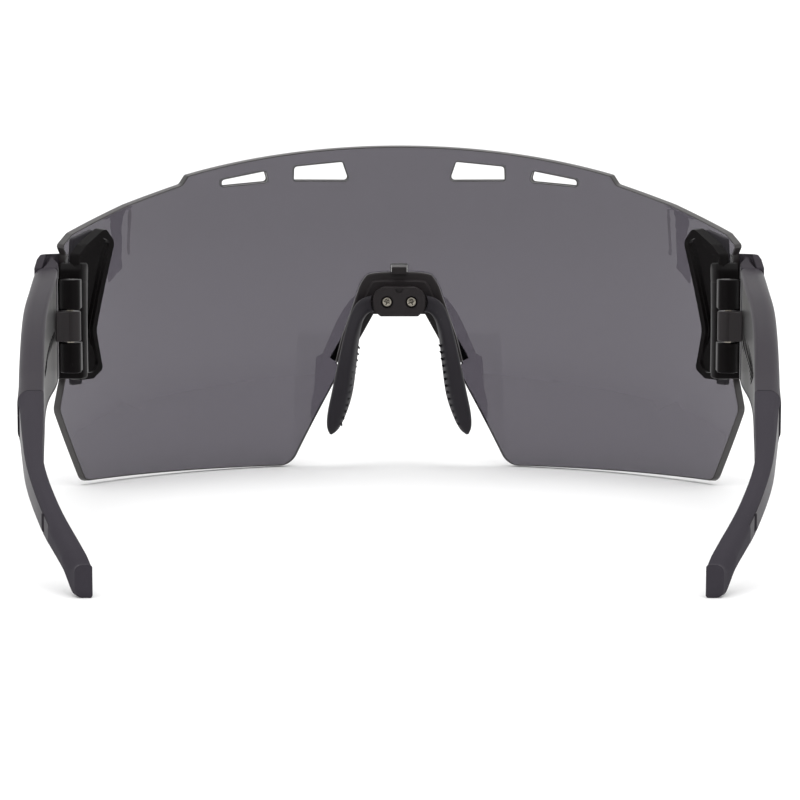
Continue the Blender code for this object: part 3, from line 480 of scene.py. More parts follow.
def loft(rings):
    """A closed solid through rings that each have the same number of points."""
    solid = bmesh.new()
    made = [[solid.verts.new(p) for p in ring] for ring in rings]
    for first, second in zip(made, made[1:]):
        for k in range(len(first)):
            solid.faces.new((first[k - 1], first[k], second[k], second[k - 1]))
    solid.faces.new(list(reversed(made[0])))
    solid.faces.new(made[-1])
    bmesh.ops.recalc_face_normals(solid, faces=solid.faces)
    return solid


def smooth_path(stations, per_span):
    """Points between stations on a Catmull-Rom curve, through every station."""
    path = []
    padded = [stations[0], *stations, stations[-1]]
    for k in range(len(stations) - 1):
        a, b, c, d = (Vector(s) for s in padded[k:k + 4])
        for step in range(per_span):
            t = step / per_span
            spread = 2 * b + (c - a) * t + (2 * a - 5 * b + 4 * c - d) * t ** 2
            path.append((spread + (3 * b - a - 3 * c + d) * t ** 3) / 2)
    return [*path, Vector(stations[-1])]


def gridded(solid, arc_step, height_step):
    """Cuts a flat plate into cells small enough to follow the lens's curves."""
    for axis, step in ((0, arc_step), (2, height_step)):
        low = min(v.co[axis] for v in solid.verts)
        high = max(v.co[axis] for v in solid.verts)
        normal = Vector((axis == 0, 0, axis == 2))
        for k in range(math.ceil(low / step), math.floor(high / step) + 1):
            everything = solid.verts[:] + solid.edges[:] + solid.faces[:]
            place = normal * k * step
            bmesh.ops.bisect_plane(solid, geom=everything, dist=1e-4, plane_co=place, plane_no=normal)
    return solid


# ---------------------------------------------------------------- objects

def new_object(name, data):
    """An object of this name and data, in the scene."""
    made = bpy.data.objects.new(name, data)
    bpy.context.scene.collection.objects.link(made)
    return made


def mesh_of(name, solid):
    """A mesh of this name with the solid's faces. The solid is used up."""
    mesh = bpy.data.meshes.new(name)
    solid.to_mesh(mesh)
    solid.free()
    return mesh


def placed(name, solid, side=RIGHT, finish=None):
    """An object at the origin with a millimetre solid as its mesh, mirrored for the left."""
    bmesh.ops.transform(solid, matrix=Matrix.Diagonal((side * MM, MM, MM, 1)), verts=solid.verts)
    bmesh.ops.recalc_face_normals(solid, faces=solid.faces)
    obj = new_object(name, mesh_of(name, solid))
    if finish:
        obj.data.materials.append(finish)
    return obj


def bake(obj):
    """Makes what the modifiers give the object's own mesh."""
    depsgraph = bpy.context.evaluated_depsgraph_get()
    mesh = bpy.data.meshes.new_from_object(obj.evaluated_get(depsgraph), depsgraph=depsgraph)
    old = obj.data
    obj.modifiers.clear()
    obj.data = mesh
    mesh.name = obj.name
    bpy.data.meshes.remove(old)
    return obj


def combined(obj, *others, operation="DIFFERENCE"):
    """The object with helpers cut from it, or joined to it. The helpers are used up."""
    for other in others:
        modifier = obj.modifiers.new(other.name, "BOOLEAN")
        modifier.operation = operation
        modifier.solver = "EXACT"
        modifier.object = other
    bake(obj)
    for other in others:
        bpy.data.objects.remove(other)
    return obj


def gathered(name, *objects):
    """One object that holds the meshes of several, each still a closed body of its own."""
    whole = bmesh.new()
    for obj in objects:
        whole.from_mesh(obj.data)
    joined = new_object(name, mesh_of(name, whole))
    for material in objects[0].data.materials:
        joined.data.materials.append(material)
    for obj in objects:
        bpy.data.objects.remove(obj)
    return joined


def smoothed(obj, angle=BLEND_ANGLE):
    """Shades an object smooth, apart from its sharp edges, with flat faces kept flat."""
    obj.data.shade_smooth()
    obj.data.set_sharp_from_angle(angle=math.radians(angle))
    weighted = obj.modifiers.new("flat faces stay flat", "WEIGHTED_NORMAL")
    weighted.keep_sharp = True
    return bake(obj)


def eased(obj, radius, segments=2, angle=30.0):
    """Rounds an object's sharp edges to a radius in metres, then shades it."""
    bevel = obj.modifiers.new("moulded edges", "BEVEL")
    bevel.limit_method = "ANGLE"
    bevel.angle_limit = math.radians(angle)
    bevel.width = radius
    bevel.segments = segments
    bevel.use_clamp_overlap = True
    return smoothed(bake(obj))


def hinge_piece(name, solid, side, finish):
    """A knuckle, or the web that ties it to its arm."""
    return smoothed(placed(name, solid, side, finish), CREASE_ANGLE)


def shown(obj, body, slot, *nodes):
    """Gives a finished piece its body and hides the CAD nodes it stands for. Its slot is not used."""
    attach(obj, body)
    if nodes:
        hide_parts(*nodes)
    return obj


# ---------------------------------------------------------------- node trees

def socket_of(tree, value, socket):
    """Feeds a socket from another socket, or sets it."""
    if isinstance(value, bpy.types.NodeSocket):
        tree.links.new(value, socket)
    else:
        socket.default_value = value


def node(tree, kind, settings=None, **inputs):
    """A node with its settings, and its inputs set or linked by name (with _ for a space)."""
    made = tree.nodes.new(kind)
    for name, value in (settings or {}).items():
        setattr(made, name, value)
    for name, value in inputs.items():
        socket_of(tree, value, made.inputs[name.replace("_", " ")])
    return made


def calc(tree, operation, *values):
    """A Math node's result."""
    made = tree.nodes.new("ShaderNodeMath")
    made.operation = operation
    for socket, value in zip(made.inputs, values):
        socket_of(tree, value, socket)
    return made.outputs[0]


def new_tree(name, kind, inputs, outputs):
    """A node group with (name, socket type, default) inputs and (name, socket type) outputs."""
    tree = bpy.data.node_groups.new(name, kind)
    for label, socket_type, default in inputs:
        socket = tree.interface.new_socket(label, in_out="INPUT", socket_type=socket_type)
        if default is not None:
            socket.default_value = default
    for label, socket_type in outputs:
        tree.interface.new_socket(label, in_out="OUTPUT", socket_type=socket_type)
    return tree, tree.nodes.new("NodeGroupInput").outputs, tree.nodes.new("NodeGroupOutput").inputs


def set_inputs(modifier, **values):
    """Sets a Geometry Nodes modifier's inputs by the names of their sockets."""
    for item in modifier.node_group.interface.items_tree:
        key = item.name.replace(" ", "_")
        if item.item_type == "SOCKET" and item.in_out == "INPUT" and key in values:
            modifier[item.identifier] = values[key]


def grown(obj, tree, **values):
    """The object's mesh after a Geometry Nodes tree, with its normals pointing out."""
    modifier = obj.modifiers.new(tree.name, "NODES")
    modifier.node_group = tree
    set_inputs(modifier, **values)
    bake(obj)
    shell = bmesh.new()
    shell.from_mesh(obj.data)
    bmesh.ops.remove_doubles(shell, verts=shell.verts, dist=1e-7)
    bmesh.ops.recalc_face_normals(shell, faces=shell.faces)
    shell.to_mesh(obj.data)
    shell.free()
    return obj


def wrap_tree():
    """Bends a flat plate, with arc along X, depth along Y and height along Z, round the lens."""
    name = "Wrap Round Lens"
    if name in bpy.data.node_groups:
        return bpy.data.node_groups[name]
    inputs = [
        ("Geometry", "NodeSocketGeometry", None),
        ("Wrap Radius", "NodeSocketFloat", LENS_RADIUS * MM),
        ("Rise Radius", "NodeSocketFloat", LENS_RISE_RADIUS * MM),
        ("Rise Centre", "NodeSocketFloat", LENS_RISE_CENTRE * MM),
        ("Front", "NodeSocketFloat", APEX_Y * MM),
        ("Face Finish", "NodeSocketMaterial", None),
        ("Edge Finish", "NodeSocketMaterial", None),
    ]
    tree, given, result = new_tree(name, "GeometryNodeTree", inputs, [("Geometry", "NodeSocketGeometry")])
    place = node(tree, "GeometryNodeInputPosition").outputs[0]
    spot = node(tree, "ShaderNodeSeparateXYZ", Vector=place).outputs
    above = calc(tree, "SUBTRACT", spot["Z"], given["Rise Centre"])
    tilt = calc(tree, "ARCSINE", calc(tree, "DIVIDE", above, given["Rise Radius"]))
    upright = calc(tree, "COSINE", tilt)
    lean = calc(tree, "MULTIPLY", given["Rise Radius"], calc(tree, "SUBTRACT", 1.0, upright))
    inward = calc(tree, "ADD", lean, calc(tree, "MULTIPLY", spot["Y"], upright))
    radius = calc(tree, "SUBTRACT", given["Wrap Radius"], inward)
    angle = calc(tree, "DIVIDE", spot["X"], given["Wrap Radius"])
    centre = calc(tree, "SUBTRACT", given["Front"], given["Wrap Radius"])
    bent = node(
        tree,
        "ShaderNodeCombineXYZ",
        X=calc(tree, "MULTIPLY", radius, calc(tree, "SINE", angle)),
        Y=calc(tree, "ADD", centre, calc(tree, "MULTIPLY", radius, calc(tree, "COSINE", angle))),
        Z=calc(tree, "SUBTRACT", spot["Z"], calc(tree, "MULTIPLY", spot["Y"], calc(tree, "SINE", tilt))),
    )
    moved = node(tree, "GeometryNodeSetPosition", Geometry=given["Geometry"], Position=bent.outputs[0])
    whole = node(tree, "GeometryNodeRealizeInstances", Geometry=moved.outputs[0])
    faces = node(tree, "GeometryNodeSetMaterial", Geometry=whole.outputs[0], Material=given["Face Finish"])
    rim = node(tree, "GeometryNodeInputNamedAttribute", {"data_type": "BOOLEAN"}, Name="rim")
    is_rim = next(socket for socket in rim.outputs if socket.name == "Attribute" and socket.enabled)
    edges = node(tree, "GeometryNodeSetMaterial", Geometry=faces.outputs[0], Material=given["Edge Finish"])
    tree.links.new(is_rim, edges.inputs["Selection"])
    tree.links.new(edges.outputs[0], result[0])
    return tree


def ribs_tree():
    """Lays ribs at even steps along a curve, each across it and partly sunk in the surface."""
    name = "Ribs Along Path"
    if name in bpy.data.node_groups:
        return bpy.data.node_groups[name]
    inputs = [
        ("Geometry", "NodeSocketGeometry", None),
        ("Count", "NodeSocketInt", 10),
        ("Length", "NodeSocketFloat", 0.004),
        ("Width", "NodeSocketFloat", 0.0006),
        ("Height", "NodeSocketFloat", 0.0003),
        ("Finish", "NodeSocketMaterial", None),
    ]
    tree, given, result = new_tree(name, "GeometryNodeTree", inputs, [("Geometry", "NodeSocketGeometry")])
    points = node(tree, "GeometryNodeCurveToPoints", Curve=given["Geometry"], Count=given["Count"])
    rib = node(tree, "GeometryNodeMeshUVSphere", Segments=14, Rings=8, Radius=0.5)
    tangent = points.outputs["Tangent"]
    turned = node(tree, "FunctionNodeAlignRotationToVector", {"axis": "X"}, Vector=tangent)
    size = node(
        tree,
        "ShaderNodeCombineXYZ",
        X=given["Width"],
        Y=given["Length"],
        Z=calc(tree, "MULTIPLY", given["Height"], 2.0),
    )
    copies = node(
        tree,
        "GeometryNodeInstanceOnPoints",
        Points=points.outputs["Points"],
        Instance=rib.outputs[0],
        Rotation=turned.outputs[0],
        Scale=size.outputs[0],
    )
    whole = node(tree, "GeometryNodeRealizeInstances", Geometry=copies.outputs[0])
    done = node(tree, "GeometryNodeSetMaterial", Geometry=whole.outputs[0], Material=given["Finish"])
    tree.links.new(done.outputs[0], result[0])
    return tree


def screws_tree():
    """Puts one screw at each point of a mesh, each turned a little further than the last."""
    name = "Screw At Each Point"
    if name in bpy.data.node_groups:
        return bpy.data.node_groups[name]
    inputs = [
        ("Geometry", "NodeSocketGeometry", None),
        ("Screw", "NodeSocketObject", None),
        ("First Turn", "NodeSocketFloat", 0.3),
        ("Turn Step", "NodeSocketFloat", 0.9),
        ("Finish", "NodeSocketMaterial", None),
    ]
    tree, given, result = new_tree(name, "GeometryNodeTree", inputs, [("Geometry", "NodeSocketGeometry")])
    index = node(tree, "GeometryNodeInputIndex").outputs[0]
    turn = calc(tree, "ADD", given["First Turn"], calc(tree, "MULTIPLY", given["Turn Step"], index))
    rotation = node(tree, "ShaderNodeCombineXYZ", Y=turn)
    screw = node(tree, "GeometryNodeObjectInfo", Object=given["Screw"])
    copies = node(
        tree,
        "GeometryNodeInstanceOnPoints",
        Points=given["Geometry"],
        Instance=screw.outputs["Geometry"],
        Rotation=rotation.outputs[0],
    )
    whole = node(tree, "GeometryNodeRealizeInstances", Geometry=copies.outputs[0])
    done = node(tree, "GeometryNodeSetMaterial", Geometry=whole.outputs[0], Material=given["Finish"])
    tree.links.new(done.outputs[0], result[0])
    return tree


def wrapped(obj, side, face_finish, edge_finish=None, arc_step=1.5, height_step=2.0):
    """Bends a flat plate object round the lens. Its rim faces may take a finish of their own."""
    flat = bmesh.new()
    flat.from_mesh(obj.data)
    bmesh.ops.transform(flat, matrix=Matrix.Diagonal((side, 1, 1, 1)), verts=flat.verts)
    gridded(flat, arc_step * MM, height_step * MM)
    rim = flat.faces.layers.bool.new("rim")
    flat.normal_update()
    for face in flat.faces:
        face[rim] = abs(face.normal.y) < 0.97
    obj.data.materials.clear()
    flat.to_mesh(obj.data)
    flat.free()
    grown(obj, wrap_tree(), Face_Finish=face_finish, Edge_Finish=edge_finish or face_finish)
    return smoothed(obj)


def ribbed(name, path, count, rib_length, rib_width, rib_height, finish):
    """Ribs across a path of points, as one mesh object."""
    curve = bpy.data.curves.new(name, "CURVE")
    curve.dimensions = "3D"
    spline = curve.splines.new("POLY")
    spline.points.add(len(path) - 1)
    for point, place in zip(spline.points, path):
        point.co = (*(place * MM), 1)
    guide = new_object(f"{name}_guide", curve)
    modifier = guide.modifiers.new("ribs", "NODES")
    modifier.node_group = ribs_tree()
    set_inputs(modifier, Count=count, Length=rib_length, Width=rib_width, Height=rib_height, Finish=finish)
    depsgraph = bpy.context.evaluated_depsgraph_get()
    mesh = bpy.data.meshes.new_from_object(guide.evaluated_get(depsgraph), depsgraph=depsgraph)
    bpy.data.objects.remove(guide)
    mesh.shade_smooth()
    return new_object(name, mesh)


# ---------------------------------------------------------------- finishes

def colour_sockets(sockets):
    """The colour sockets of a Mix node, whose sockets for other types have the same names."""
    return [socket for socket in sockets if socket.type == "RGBA"]


def grain_group():
    """Moulded grain and slow unevenness, read on the piece's own coordinates."""
    name = "Moulded Grain"
    if name in bpy.data.node_groups:
        return bpy.data.node_groups[name]
    inputs = [
        ("Grain Size", "NodeSocketFloat", 0.0002),
        ("Patch Size", "NodeSocketFloat", 0.02),
        ("Colour", "NodeSocketColor", (0.02, 0.02, 0.02, 1)),
        ("Shade Change", "NodeSocketFloat", 0.2),
        ("Roughness", "NodeSocketFloat", 0.5),
        ("Roughness Change", "NodeSocketFloat", 0.1),
    ]
    outputs = [("Colour", "NodeSocketColor"), ("Roughness", "NodeSocketFloat"), ("Height", "NodeSocketFloat")]
    tree, given, result = new_tree(name, "ShaderNodeTree", inputs, outputs)
    spot = node(tree, "ShaderNodeTexCoord").outputs["Object"]
    fine = node(
        tree, "ShaderNodeTexVoronoi", {"feature": "SMOOTH_F1"}, Vector=spot,
        Scale=calc(tree, "DIVIDE", 1.0, given["Grain Size"]), Smoothness=0.6,
    )
    patches = node(
        tree, "ShaderNodeTexNoise", Vector=spot, Detail=4.0,
        Scale=calc(tree, "DIVIDE", 1.0, given["Patch Size"]),
    )
    drift = calc(tree, "SUBTRACT", patches.outputs["Fac"], 0.5)
    shade = calc(tree, "ADD", 1.0, calc(tree, "MULTIPLY", drift, given["Shade Change"]))
    colours = node(tree, "ShaderNodeMix", {"data_type": "RGBA", "blend_type": "MULTIPLY"})
    colours.inputs["Factor"].default_value = 1.0
    tints = colour_sockets(colours.inputs)
    tree.links.new(given["Colour"], tints[0])
    tree.links.new(shade, tints[1])
    tree.links.new(colour_sockets(colours.outputs)[0], result["Colour"])
    change = calc(tree, "MULTIPLY", drift, given["Roughness Change"])
    tree.links.new(calc(tree, "ADD", given["Roughness"], change), result["Roughness"])
    tree.links.new(fine.outputs["Distance"], result["Height"])
    return tree


def wear_group():
    """Where handling and dust show: fine specks and long faint wipes."""
    name = "Handling Marks"
    if name in bpy.data.node_groups:
        return bpy.data.node_groups[name]
    inputs = [
        ("Speck Size", "NodeSocketFloat", 0.0006),
        ("Speck Share", "NodeSocketFloat", 0.05),
        ("Wipe Size", "NodeSocketFloat", 0.02),
    ]
    tree, given, result = new_tree(
        name, "ShaderNodeTree", inputs, [("Specks", "NodeSocketFloat"), ("Wipes", "NodeSocketFloat")]
    )
    spot = node(tree, "ShaderNodeTexCoord").outputs["Object"]
    specks = node(
        tree, "ShaderNodeTexNoise", Vector=spot, Detail=1.0,
        Scale=calc(tree, "DIVIDE", 1.0, given["Speck Size"]),
    )
    start = calc(tree, "SUBTRACT", 0.78, given["Speck Share"])
    above = calc(tree, "MULTIPLY", calc(tree, "SUBTRACT", specks.outputs["Fac"], start), 12.0)
    tree.links.new(node(tree, "ShaderNodeClamp", Value=above).outputs[0], result["Specks"])
    stretched = node(tree, "ShaderNodeMapping", Vector=spot)
    stretched.inputs["Scale"].default_value = (1.0, 1.0, 0.25)
    wipes = node(
        tree, "ShaderNodeTexNoise", Vector=stretched.outputs[0], Detail=3.0, Distortion=0.6,
        Scale=calc(tree, "DIVIDE", 1.0, given["Wipe Size"]),
    )
    tree.links.new(wipes.outputs["Fac"], result["Wipes"])
    return tree


def new_material(name):
    made = bpy.data.materials.new(name)
    made.use_nodes = True
    return made, made.node_tree, made.node_tree.nodes["Principled BSDF"]


def moulded(name, tint, roughness, grain_size, depth, patch_size=18.0, shade=0.25, specular=0.5, dust=0.02):
    """A moulded plastic or rubber: grain in the surface, a drift in shade and a little dust."""
    if name in bpy.data.materials:
        return bpy.data.materials[name]
    made, tree, shader = new_material(name)
    grain = node(
        tree, "ShaderNodeGroup", {"node_tree": grain_group()},
        Grain_Size=grain_size, Patch_Size=patch_size * MM, Colour=(*tint, 1),
        Shade_Change=shade, Roughness=roughness, Roughness_Change=0.16,
    )
    marks = node(tree, "ShaderNodeGroup", {"node_tree": wear_group()})
    dusted = node(tree, "ShaderNodeMix", {"data_type": "RGBA"})
    shades = colour_sockets(dusted.inputs)
    tree.links.new(calc(tree, "MULTIPLY", marks.outputs["Specks"], dust), dusted.inputs["Factor"])
    tree.links.new(grain.outputs["Colour"], shades[0])
    shades[1].default_value = (0.35, 0.34, 0.33, 1)
    tree.links.new(colour_sockets(dusted.outputs)[0], shader.inputs["Base Color"])
    tree.links.new(grain.outputs["Roughness"], shader.inputs["Roughness"])
    relief = 0.35 * grain_size
    bump = node(tree, "ShaderNodeBump", Height=grain.outputs["Height"], Strength=depth, Distance=relief)
    tree.links.new(bump.outputs[0], shader.inputs["Normal"])
    shader.inputs["Specular IOR Level"].default_value = specular
    return made


def black_nylon():
    finish = look("finish")
    return moulded("satin_black", finish.black, 0.46, finish.grain, finish.grain_depth, specular=0.2)


def panel_nylon():
    finish = look("finish")
    # Black nylon darkened to a quarter: painted shade for the lug panels and temple inlays, which face the
    # unlit side towards the camera
    painted_shade_black = [0.24 * channel for channel in finish.black]
    return moulded("panel_nylon", painted_shade_black, 0.4, finish.grain, finish.grain_depth * 0.7, specular=0.05)


def grey_nylon():
    finish = look("finish")
    depth = finish.grain_depth * 0.6
    return moulded("satin_grey", finish.grey, 0.36, finish.grain * 0.8, depth, shade=0.15, specular=0.05)


def grip_rubber():
    finish = look("finish")
    depth = finish.grain_depth
    return moulded("soft_rubber", finish.rubber, 0.58, finish.grain * 1.2, depth, specular=0.03, dust=0.03)


def pad_rubber():
    finish = look("finish")
    darker = [0.5 * channel for channel in finish.rubber]
    return moulded("pad_rubber", darker, 0.55, finish.grain, finish.grain_depth, specular=0.12, dust=0.03)


def turned_steel():
    """Bright plated steel with fine turning marks."""
    if "turned_steel" in bpy.data.materials:
        return bpy.data.materials["turned_steel"]
    made, tree, shader = new_material("turned_steel")
    grain = node(
        tree, "ShaderNodeGroup", {"node_tree": grain_group()},
        Grain_Size=0.00006, Patch_Size=0.002, Colour=(*look("finish").steel, 1),
        Shade_Change=0.3, Roughness=0.24, Roughness_Change=0.15,
    )
    tree.links.new(grain.outputs["Colour"], shader.inputs["Base Color"])
    tree.links.new(grain.outputs["Roughness"], shader.inputs["Roughness"])
    bump = node(tree, "ShaderNodeBump", Height=grain.outputs["Height"], Strength=0.08, Distance=0.00002)
    tree.links.new(bump.outputs[0], shader.inputs["Normal"])
    shader.inputs["Metallic"].default_value = 1.0
    return made


def smoke_glass():
    """Smoke-tinted polycarbonate, clear through, with a trace of wiped haze."""
    made, tree, shader = new_material("smoke_glass")
    settings = look("lens")
    marks = node(tree, "ShaderNodeGroup", {"node_tree": wear_group()}, Wipe_Size=0.03)
    haze = calc(tree, "MULTIPLY", marks.outputs["Wipes"], settings.haze)
    tree.links.new(haze, shader.inputs["Roughness"])
    shader.inputs["Base Color"].default_value = (*settings.tint, 1)
    shader.inputs["Transmission Weight"].default_value = 1.0
    shader.inputs["IOR"].default_value = 1.5
    return made


def ground_edge():
    """The lens's cut edge: the same tint seen through its length, ground matt."""
    settings = look("lens")
    return moulded("ground_edge", settings.edge, 0.34, 0.00012, 0.12, patch_size=6.0, shade=0.4, dust=0.03)


# ---------------------------------------------------------------- lens

class BuildLens(bpy.types.Operator):
    """Builds the one-piece shield lens with its vents and its tab slot"""

    bl_idname = "sunglasses.build_lens"
    bl_label = "Lens"

    def execute(self, context):
        settings = look("lens")
        slot = rectangle(
            -TAB_SLOT_HALF_WIDTH, TAB_SLOT_BOTTOM, TAB_SLOT_HALF_WIDTH, TAB_SLOT_TOP, radius=0.4
        )
        levels = eased_levels(0, LENS_THICKNESS, settings.edge_round / MM)
        flat = placed("lens_glass", stack(lens_outline(), levels, vent_outlines() + [slot]))
        lens = wrapped(flat, RIGHT, smoke_glass(), ground_edge())
        shown(lens, "front", "lens", "lens_shield")
        lens.visible_glossy = False
        return {"FINISHED"}


# ---------------------------------------------------------------- bridge

def clip_reach(height):
    """How far the clip's rear plate reaches over the lens, at a height on the seat's edge."""
    top = NOSE_CENTRE_Z + NOSE_ROUND + CLIP_SEAT
    marks = [
        (CLIP_BOTTOM, CLIP_FOOT_REACH),
        (CLIP_BOTTOM + 4.5, CLIP_WING_REACH),
        (NOSE_CENTRE_Z, CLIP_SIDE_REACH),
        (top - 1.6, CLIP_SHOULDER_REACH),
        (top, CLIP_TOP_REACH),
    ]
    for (low, near), (high, far) in zip(marks, marks[1:]):
        if height <= high:
            return near + (far - near) * (height - low) / (high - low)
    return CLIP_TOP_REACH


def clip_path():
    """Points and outward angles along the edge of the nose cut-out, from right foot to left."""
    slope = math.atan(NOSE_SLOPE)
    steps = 14
    leg = [CLIP_BOTTOM + (NOSE_CENTRE_Z + 2.2 - CLIP_BOTTOM) * k / steps for k in range(steps)]
    seat_round = NOSE_ROUND + CLIP_SEAT
    path = [(Vector((seat_half_arc(z), z)), slope) for z in leg]
    turns = 28
    for k in range(turns + 1):
        angle = slope + (math.pi - 2 * slope) * k / turns
        spoke = Vector((math.cos(angle), math.sin(angle)))
        path.append((Vector((0, NOSE_CENTRE_Z)) + spoke * seat_round, angle))
    return path + [(Vector((-seat_half_arc(z), z)), math.pi - slope) for z in reversed(leg)]


def clip_channel(settings):
    """The channel along the cut-out: lip in front, web through, and a stepped plate behind."""
    step, width = settings.flange_step / MM, settings.flange_width / MM
    back = PLATE_FRONT + CLIP_PLATE
    rings = []
    for edge, angle in clip_path():
        outward = Vector((math.cos(angle), math.sin(angle)))
        reach = clip_reach(edge.y)
        ridge = min(max(0.4, reach - width), reach - 0.75)
        section = [
            (-CLIP_WEB, -GAP - CLIP_LIP),
            (CLIP_LIP_REACH, -GAP - CLIP_LIP),
            (CLIP_LIP_REACH, -GAP),
            (-GAP, -GAP),
            (-GAP, PLATE_FRONT),
            (reach, PLATE_FRONT),
            (reach, back - step - 0.25),
            (reach - 0.3, back - step),
            (ridge + 0.35, back - step),
            (ridge, back),
            (-CLIP_WEB, back),
        ]
        rings.append([on_lens(*(edge + outward * out), depth) for out, depth in section])
    return placed("clip_channel", loft(rings))


def stack_outline():
    """The stadium round both screws, in X and Z."""
    points = []
    for k in range(19):
        angle = -math.pi / 2 + math.pi * k / 18
        spoke = Vector((math.cos(angle), math.sin(angle)))
        points.append(Vector((PAD_AXIS.x, PAD_AXIS.z)) + spoke * STACK_RADIUS)
    return points + [Vector((-p.x, p.y)) for p in reversed(points)]


def retainer_outline():
    """The retainer's chamfered outline, inside the pads' swing clearance."""
    right = [(4.0, -3.05, 0.6), (5.3, -1.8, 1.0), (5.6, 0.5, 0.8), (5.0, 2.2, 0.6), (3.4, 3.1, 0.8)]
    corners = [(x, PAD_AXIS.z + z, radius) for x, z, radius in right]
    corners += [(-x, z, radius) for x, z, radius in reversed(corners)]
    return rounded(corners, steps=5)


def bar(x, z, radius, front, back, segments=32):
    """A plain cylinder along Y, used as a cutter."""
    return placed("bore", stack(circle(x, z, radius, segments), [(0, front), (0, back)]))


class BuildBridge(bpy.types.Operator):
    """Builds the nose bridge clip with its boss and tab, and the screwed retainer"""

    bl_idname = "sunglasses.build_bridge"
    bl_label = "Bridge clip and retainer"

    def execute(self, context):
        settings = look("bridge")
        black = black_nylon()
        channel = clip_channel(settings)
        boss_front = APEX_Y - LENS_THICKNESS - 4 * GAP
        boss = placed("boss", stack(stack_outline(), eased_levels(boss_front, BOSS_BACK_Y, 0.25)))
        arch_low, arch_high = NOSE_CENTRE_Z - 0.7, NOSE_CENTRE_Z + 3.9
        low_half, high_half = nose_half_arc(arch_low) + 0.3, 3.7
        places = (
            (-low_half, arch_low), (low_half, arch_low), (high_half, arch_high), (-high_half, arch_high)
        )
        back = PLATE_FRONT + CLIP_PLATE
        keystone = stack([Vector(p) for p in places], [(0, -GAP - CLIP_LIP + 0.15), (0, back - 0.2)])
        half = TAB_SLOT_HALF_WIDTH - GAP
        tab_outline = rectangle(-half, TAB_SLOT_BOTTOM + GAP, half, TAB_SLOT_TOP - TAB_DROP, 0.3)
        tab = stack(tab_outline, eased_levels(-GAP - CLIP_LIP, back + 0.1, 0.2))
        solids = {"keystone": keystone, "tab": tab}
        plates = [wrapped(placed(name, solid), RIGHT, black) for name, solid in solids.items()]
        channel.data.materials.append(black)
        boss.data.materials.append(black)
        eased(channel, settings.edge_round * 0.6)
        smoothed(boss)
        clip = gathered("bridge_clip_shell", channel, boss, *plates)
        smoothed(clip)
        shown(clip, "front", "black_nylon", "bridge_clip")
        self.build_retainer(settings, black)
        return {"FINISHED"}

    def build_retainer(self, settings, finish):
        """The hard cap over the pads' tongues, with its screw wells and top notch."""
        front, back = BOSS_BACK_Y - GAP, RETAINER_BACK_Y
        retainer = placed("retainer_cap", stack(retainer_outline(), [(0, front), (0, back)]), finish=finish)
        reach, half = PAD_AXIS.x + STACK_RADIUS + 1, STACK_RADIUS - RETAINER_RIM
        pocket = rectangle(-reach, PAD_AXIS.z - half, reach, PAD_AXIS.z + half)
        cutters = [placed("pocket", stack(pocket, [(0, BOSS_BACK_Y + 1), (0, RETAINER_FRONT_Y)]))]
        sink = SCREW_HEAD_HEIGHT + SCREW_SINK + GAP
        for side in SIDES.values():
            x = side * PAD_AXIS.x
            cutters.append(bar(x, PAD_AXIS.z, SCREW_RADIUS + 0.15, BOSS_BACK_Y + 1, back - 1))
            cutters.append(bar(x, PAD_AXIS.z, SCREW_HEAD_RADIUS + 0.2, back + sink, back - 1))
        low, high = PAD_AXIS.z + STACK_RADIUS - 1.1, PAD_AXIS.z + STACK_RADIUS - 0.25
        notch = [Vector(p) for p in ((-0.5, low), (0.5, low), (0.95, high), (-0.95, high))]
        depth = settings.mark_depth / MM
        cutters.append(placed("notch", stack(notch, [(0, back + depth), (0, back - 1)])))
        combined(retainer, *cutters)
        eased(retainer, settings.edge_round, segments=3)
        shown(retainer, "front", "black_nylon", "pad_retainer")


class BuildScrews(bpy.types.Operator):
    """Builds the two cross-head screws of the retainer"""

    bl_idname = "sunglasses.build_screws"
    bl_label = "Retainer screws"

    def execute(self, context):
        steel = turned_steel()
        front = RETAINER_BACK_Y + SCREW_HEAD_HEIGHT + SCREW_SINK
        rings = []
        profile = [
            (SCREW_RADIUS, SCREW_SHANK),
            (SCREW_RADIUS, 0.02),
            (SCREW_HEAD_RADIUS - 0.06, 0.0),
            (SCREW_HEAD_RADIUS, -0.07),
            (SCREW_HEAD_RADIUS, -0.22),
            (SCREW_HEAD_RADIUS - 0.1, -0.38),
            (SCREW_HEAD_RADIUS * 0.7, -0.5),
            (SCREW_HEAD_RADIUS * 0.35, -SCREW_HEAD_HEIGHT),
        ]
        for radius, along in profile:
            rings.append([Vector((p.x, along, p.y)) for p in circle(0, 0, radius, 36)])
        screw = placed("screw", loft(rings), finish=steel)
        for wide, tall in (SCREW_CROSS, SCREW_CROSS[::-1]):
            mouth = rectangle(-wide, -tall, wide, tall)
            levels = [(0.09, -0.12), (0, -SCREW_HEAD_HEIGHT - 0.2)]
            combined(screw, placed("recess", stack(mouth, levels)))
        eased(screw, 0.03 * MM)
        points = bpy.data.meshes.new("screw_points")
        spots = [Vector((side * PAD_AXIS.x, front, PAD_AXIS.z)) * MM for side in SIDES.values()]
        points.from_pydata(spots, [], [])
        screws = new_object("retainer_screws", points)
        grown(screws, screws_tree(), Screw=screw, First_Turn=0.35, Turn_Step=0.8, Finish=steel)
        bpy.data.objects.remove(screw)
        smoothed(screws, 40.0)
        shown(screws, "front", "steel", "pad_screw_left", "pad_screw_right")
        return {"FINISHED"}


# ---------------------------------------------------------------- nose pads

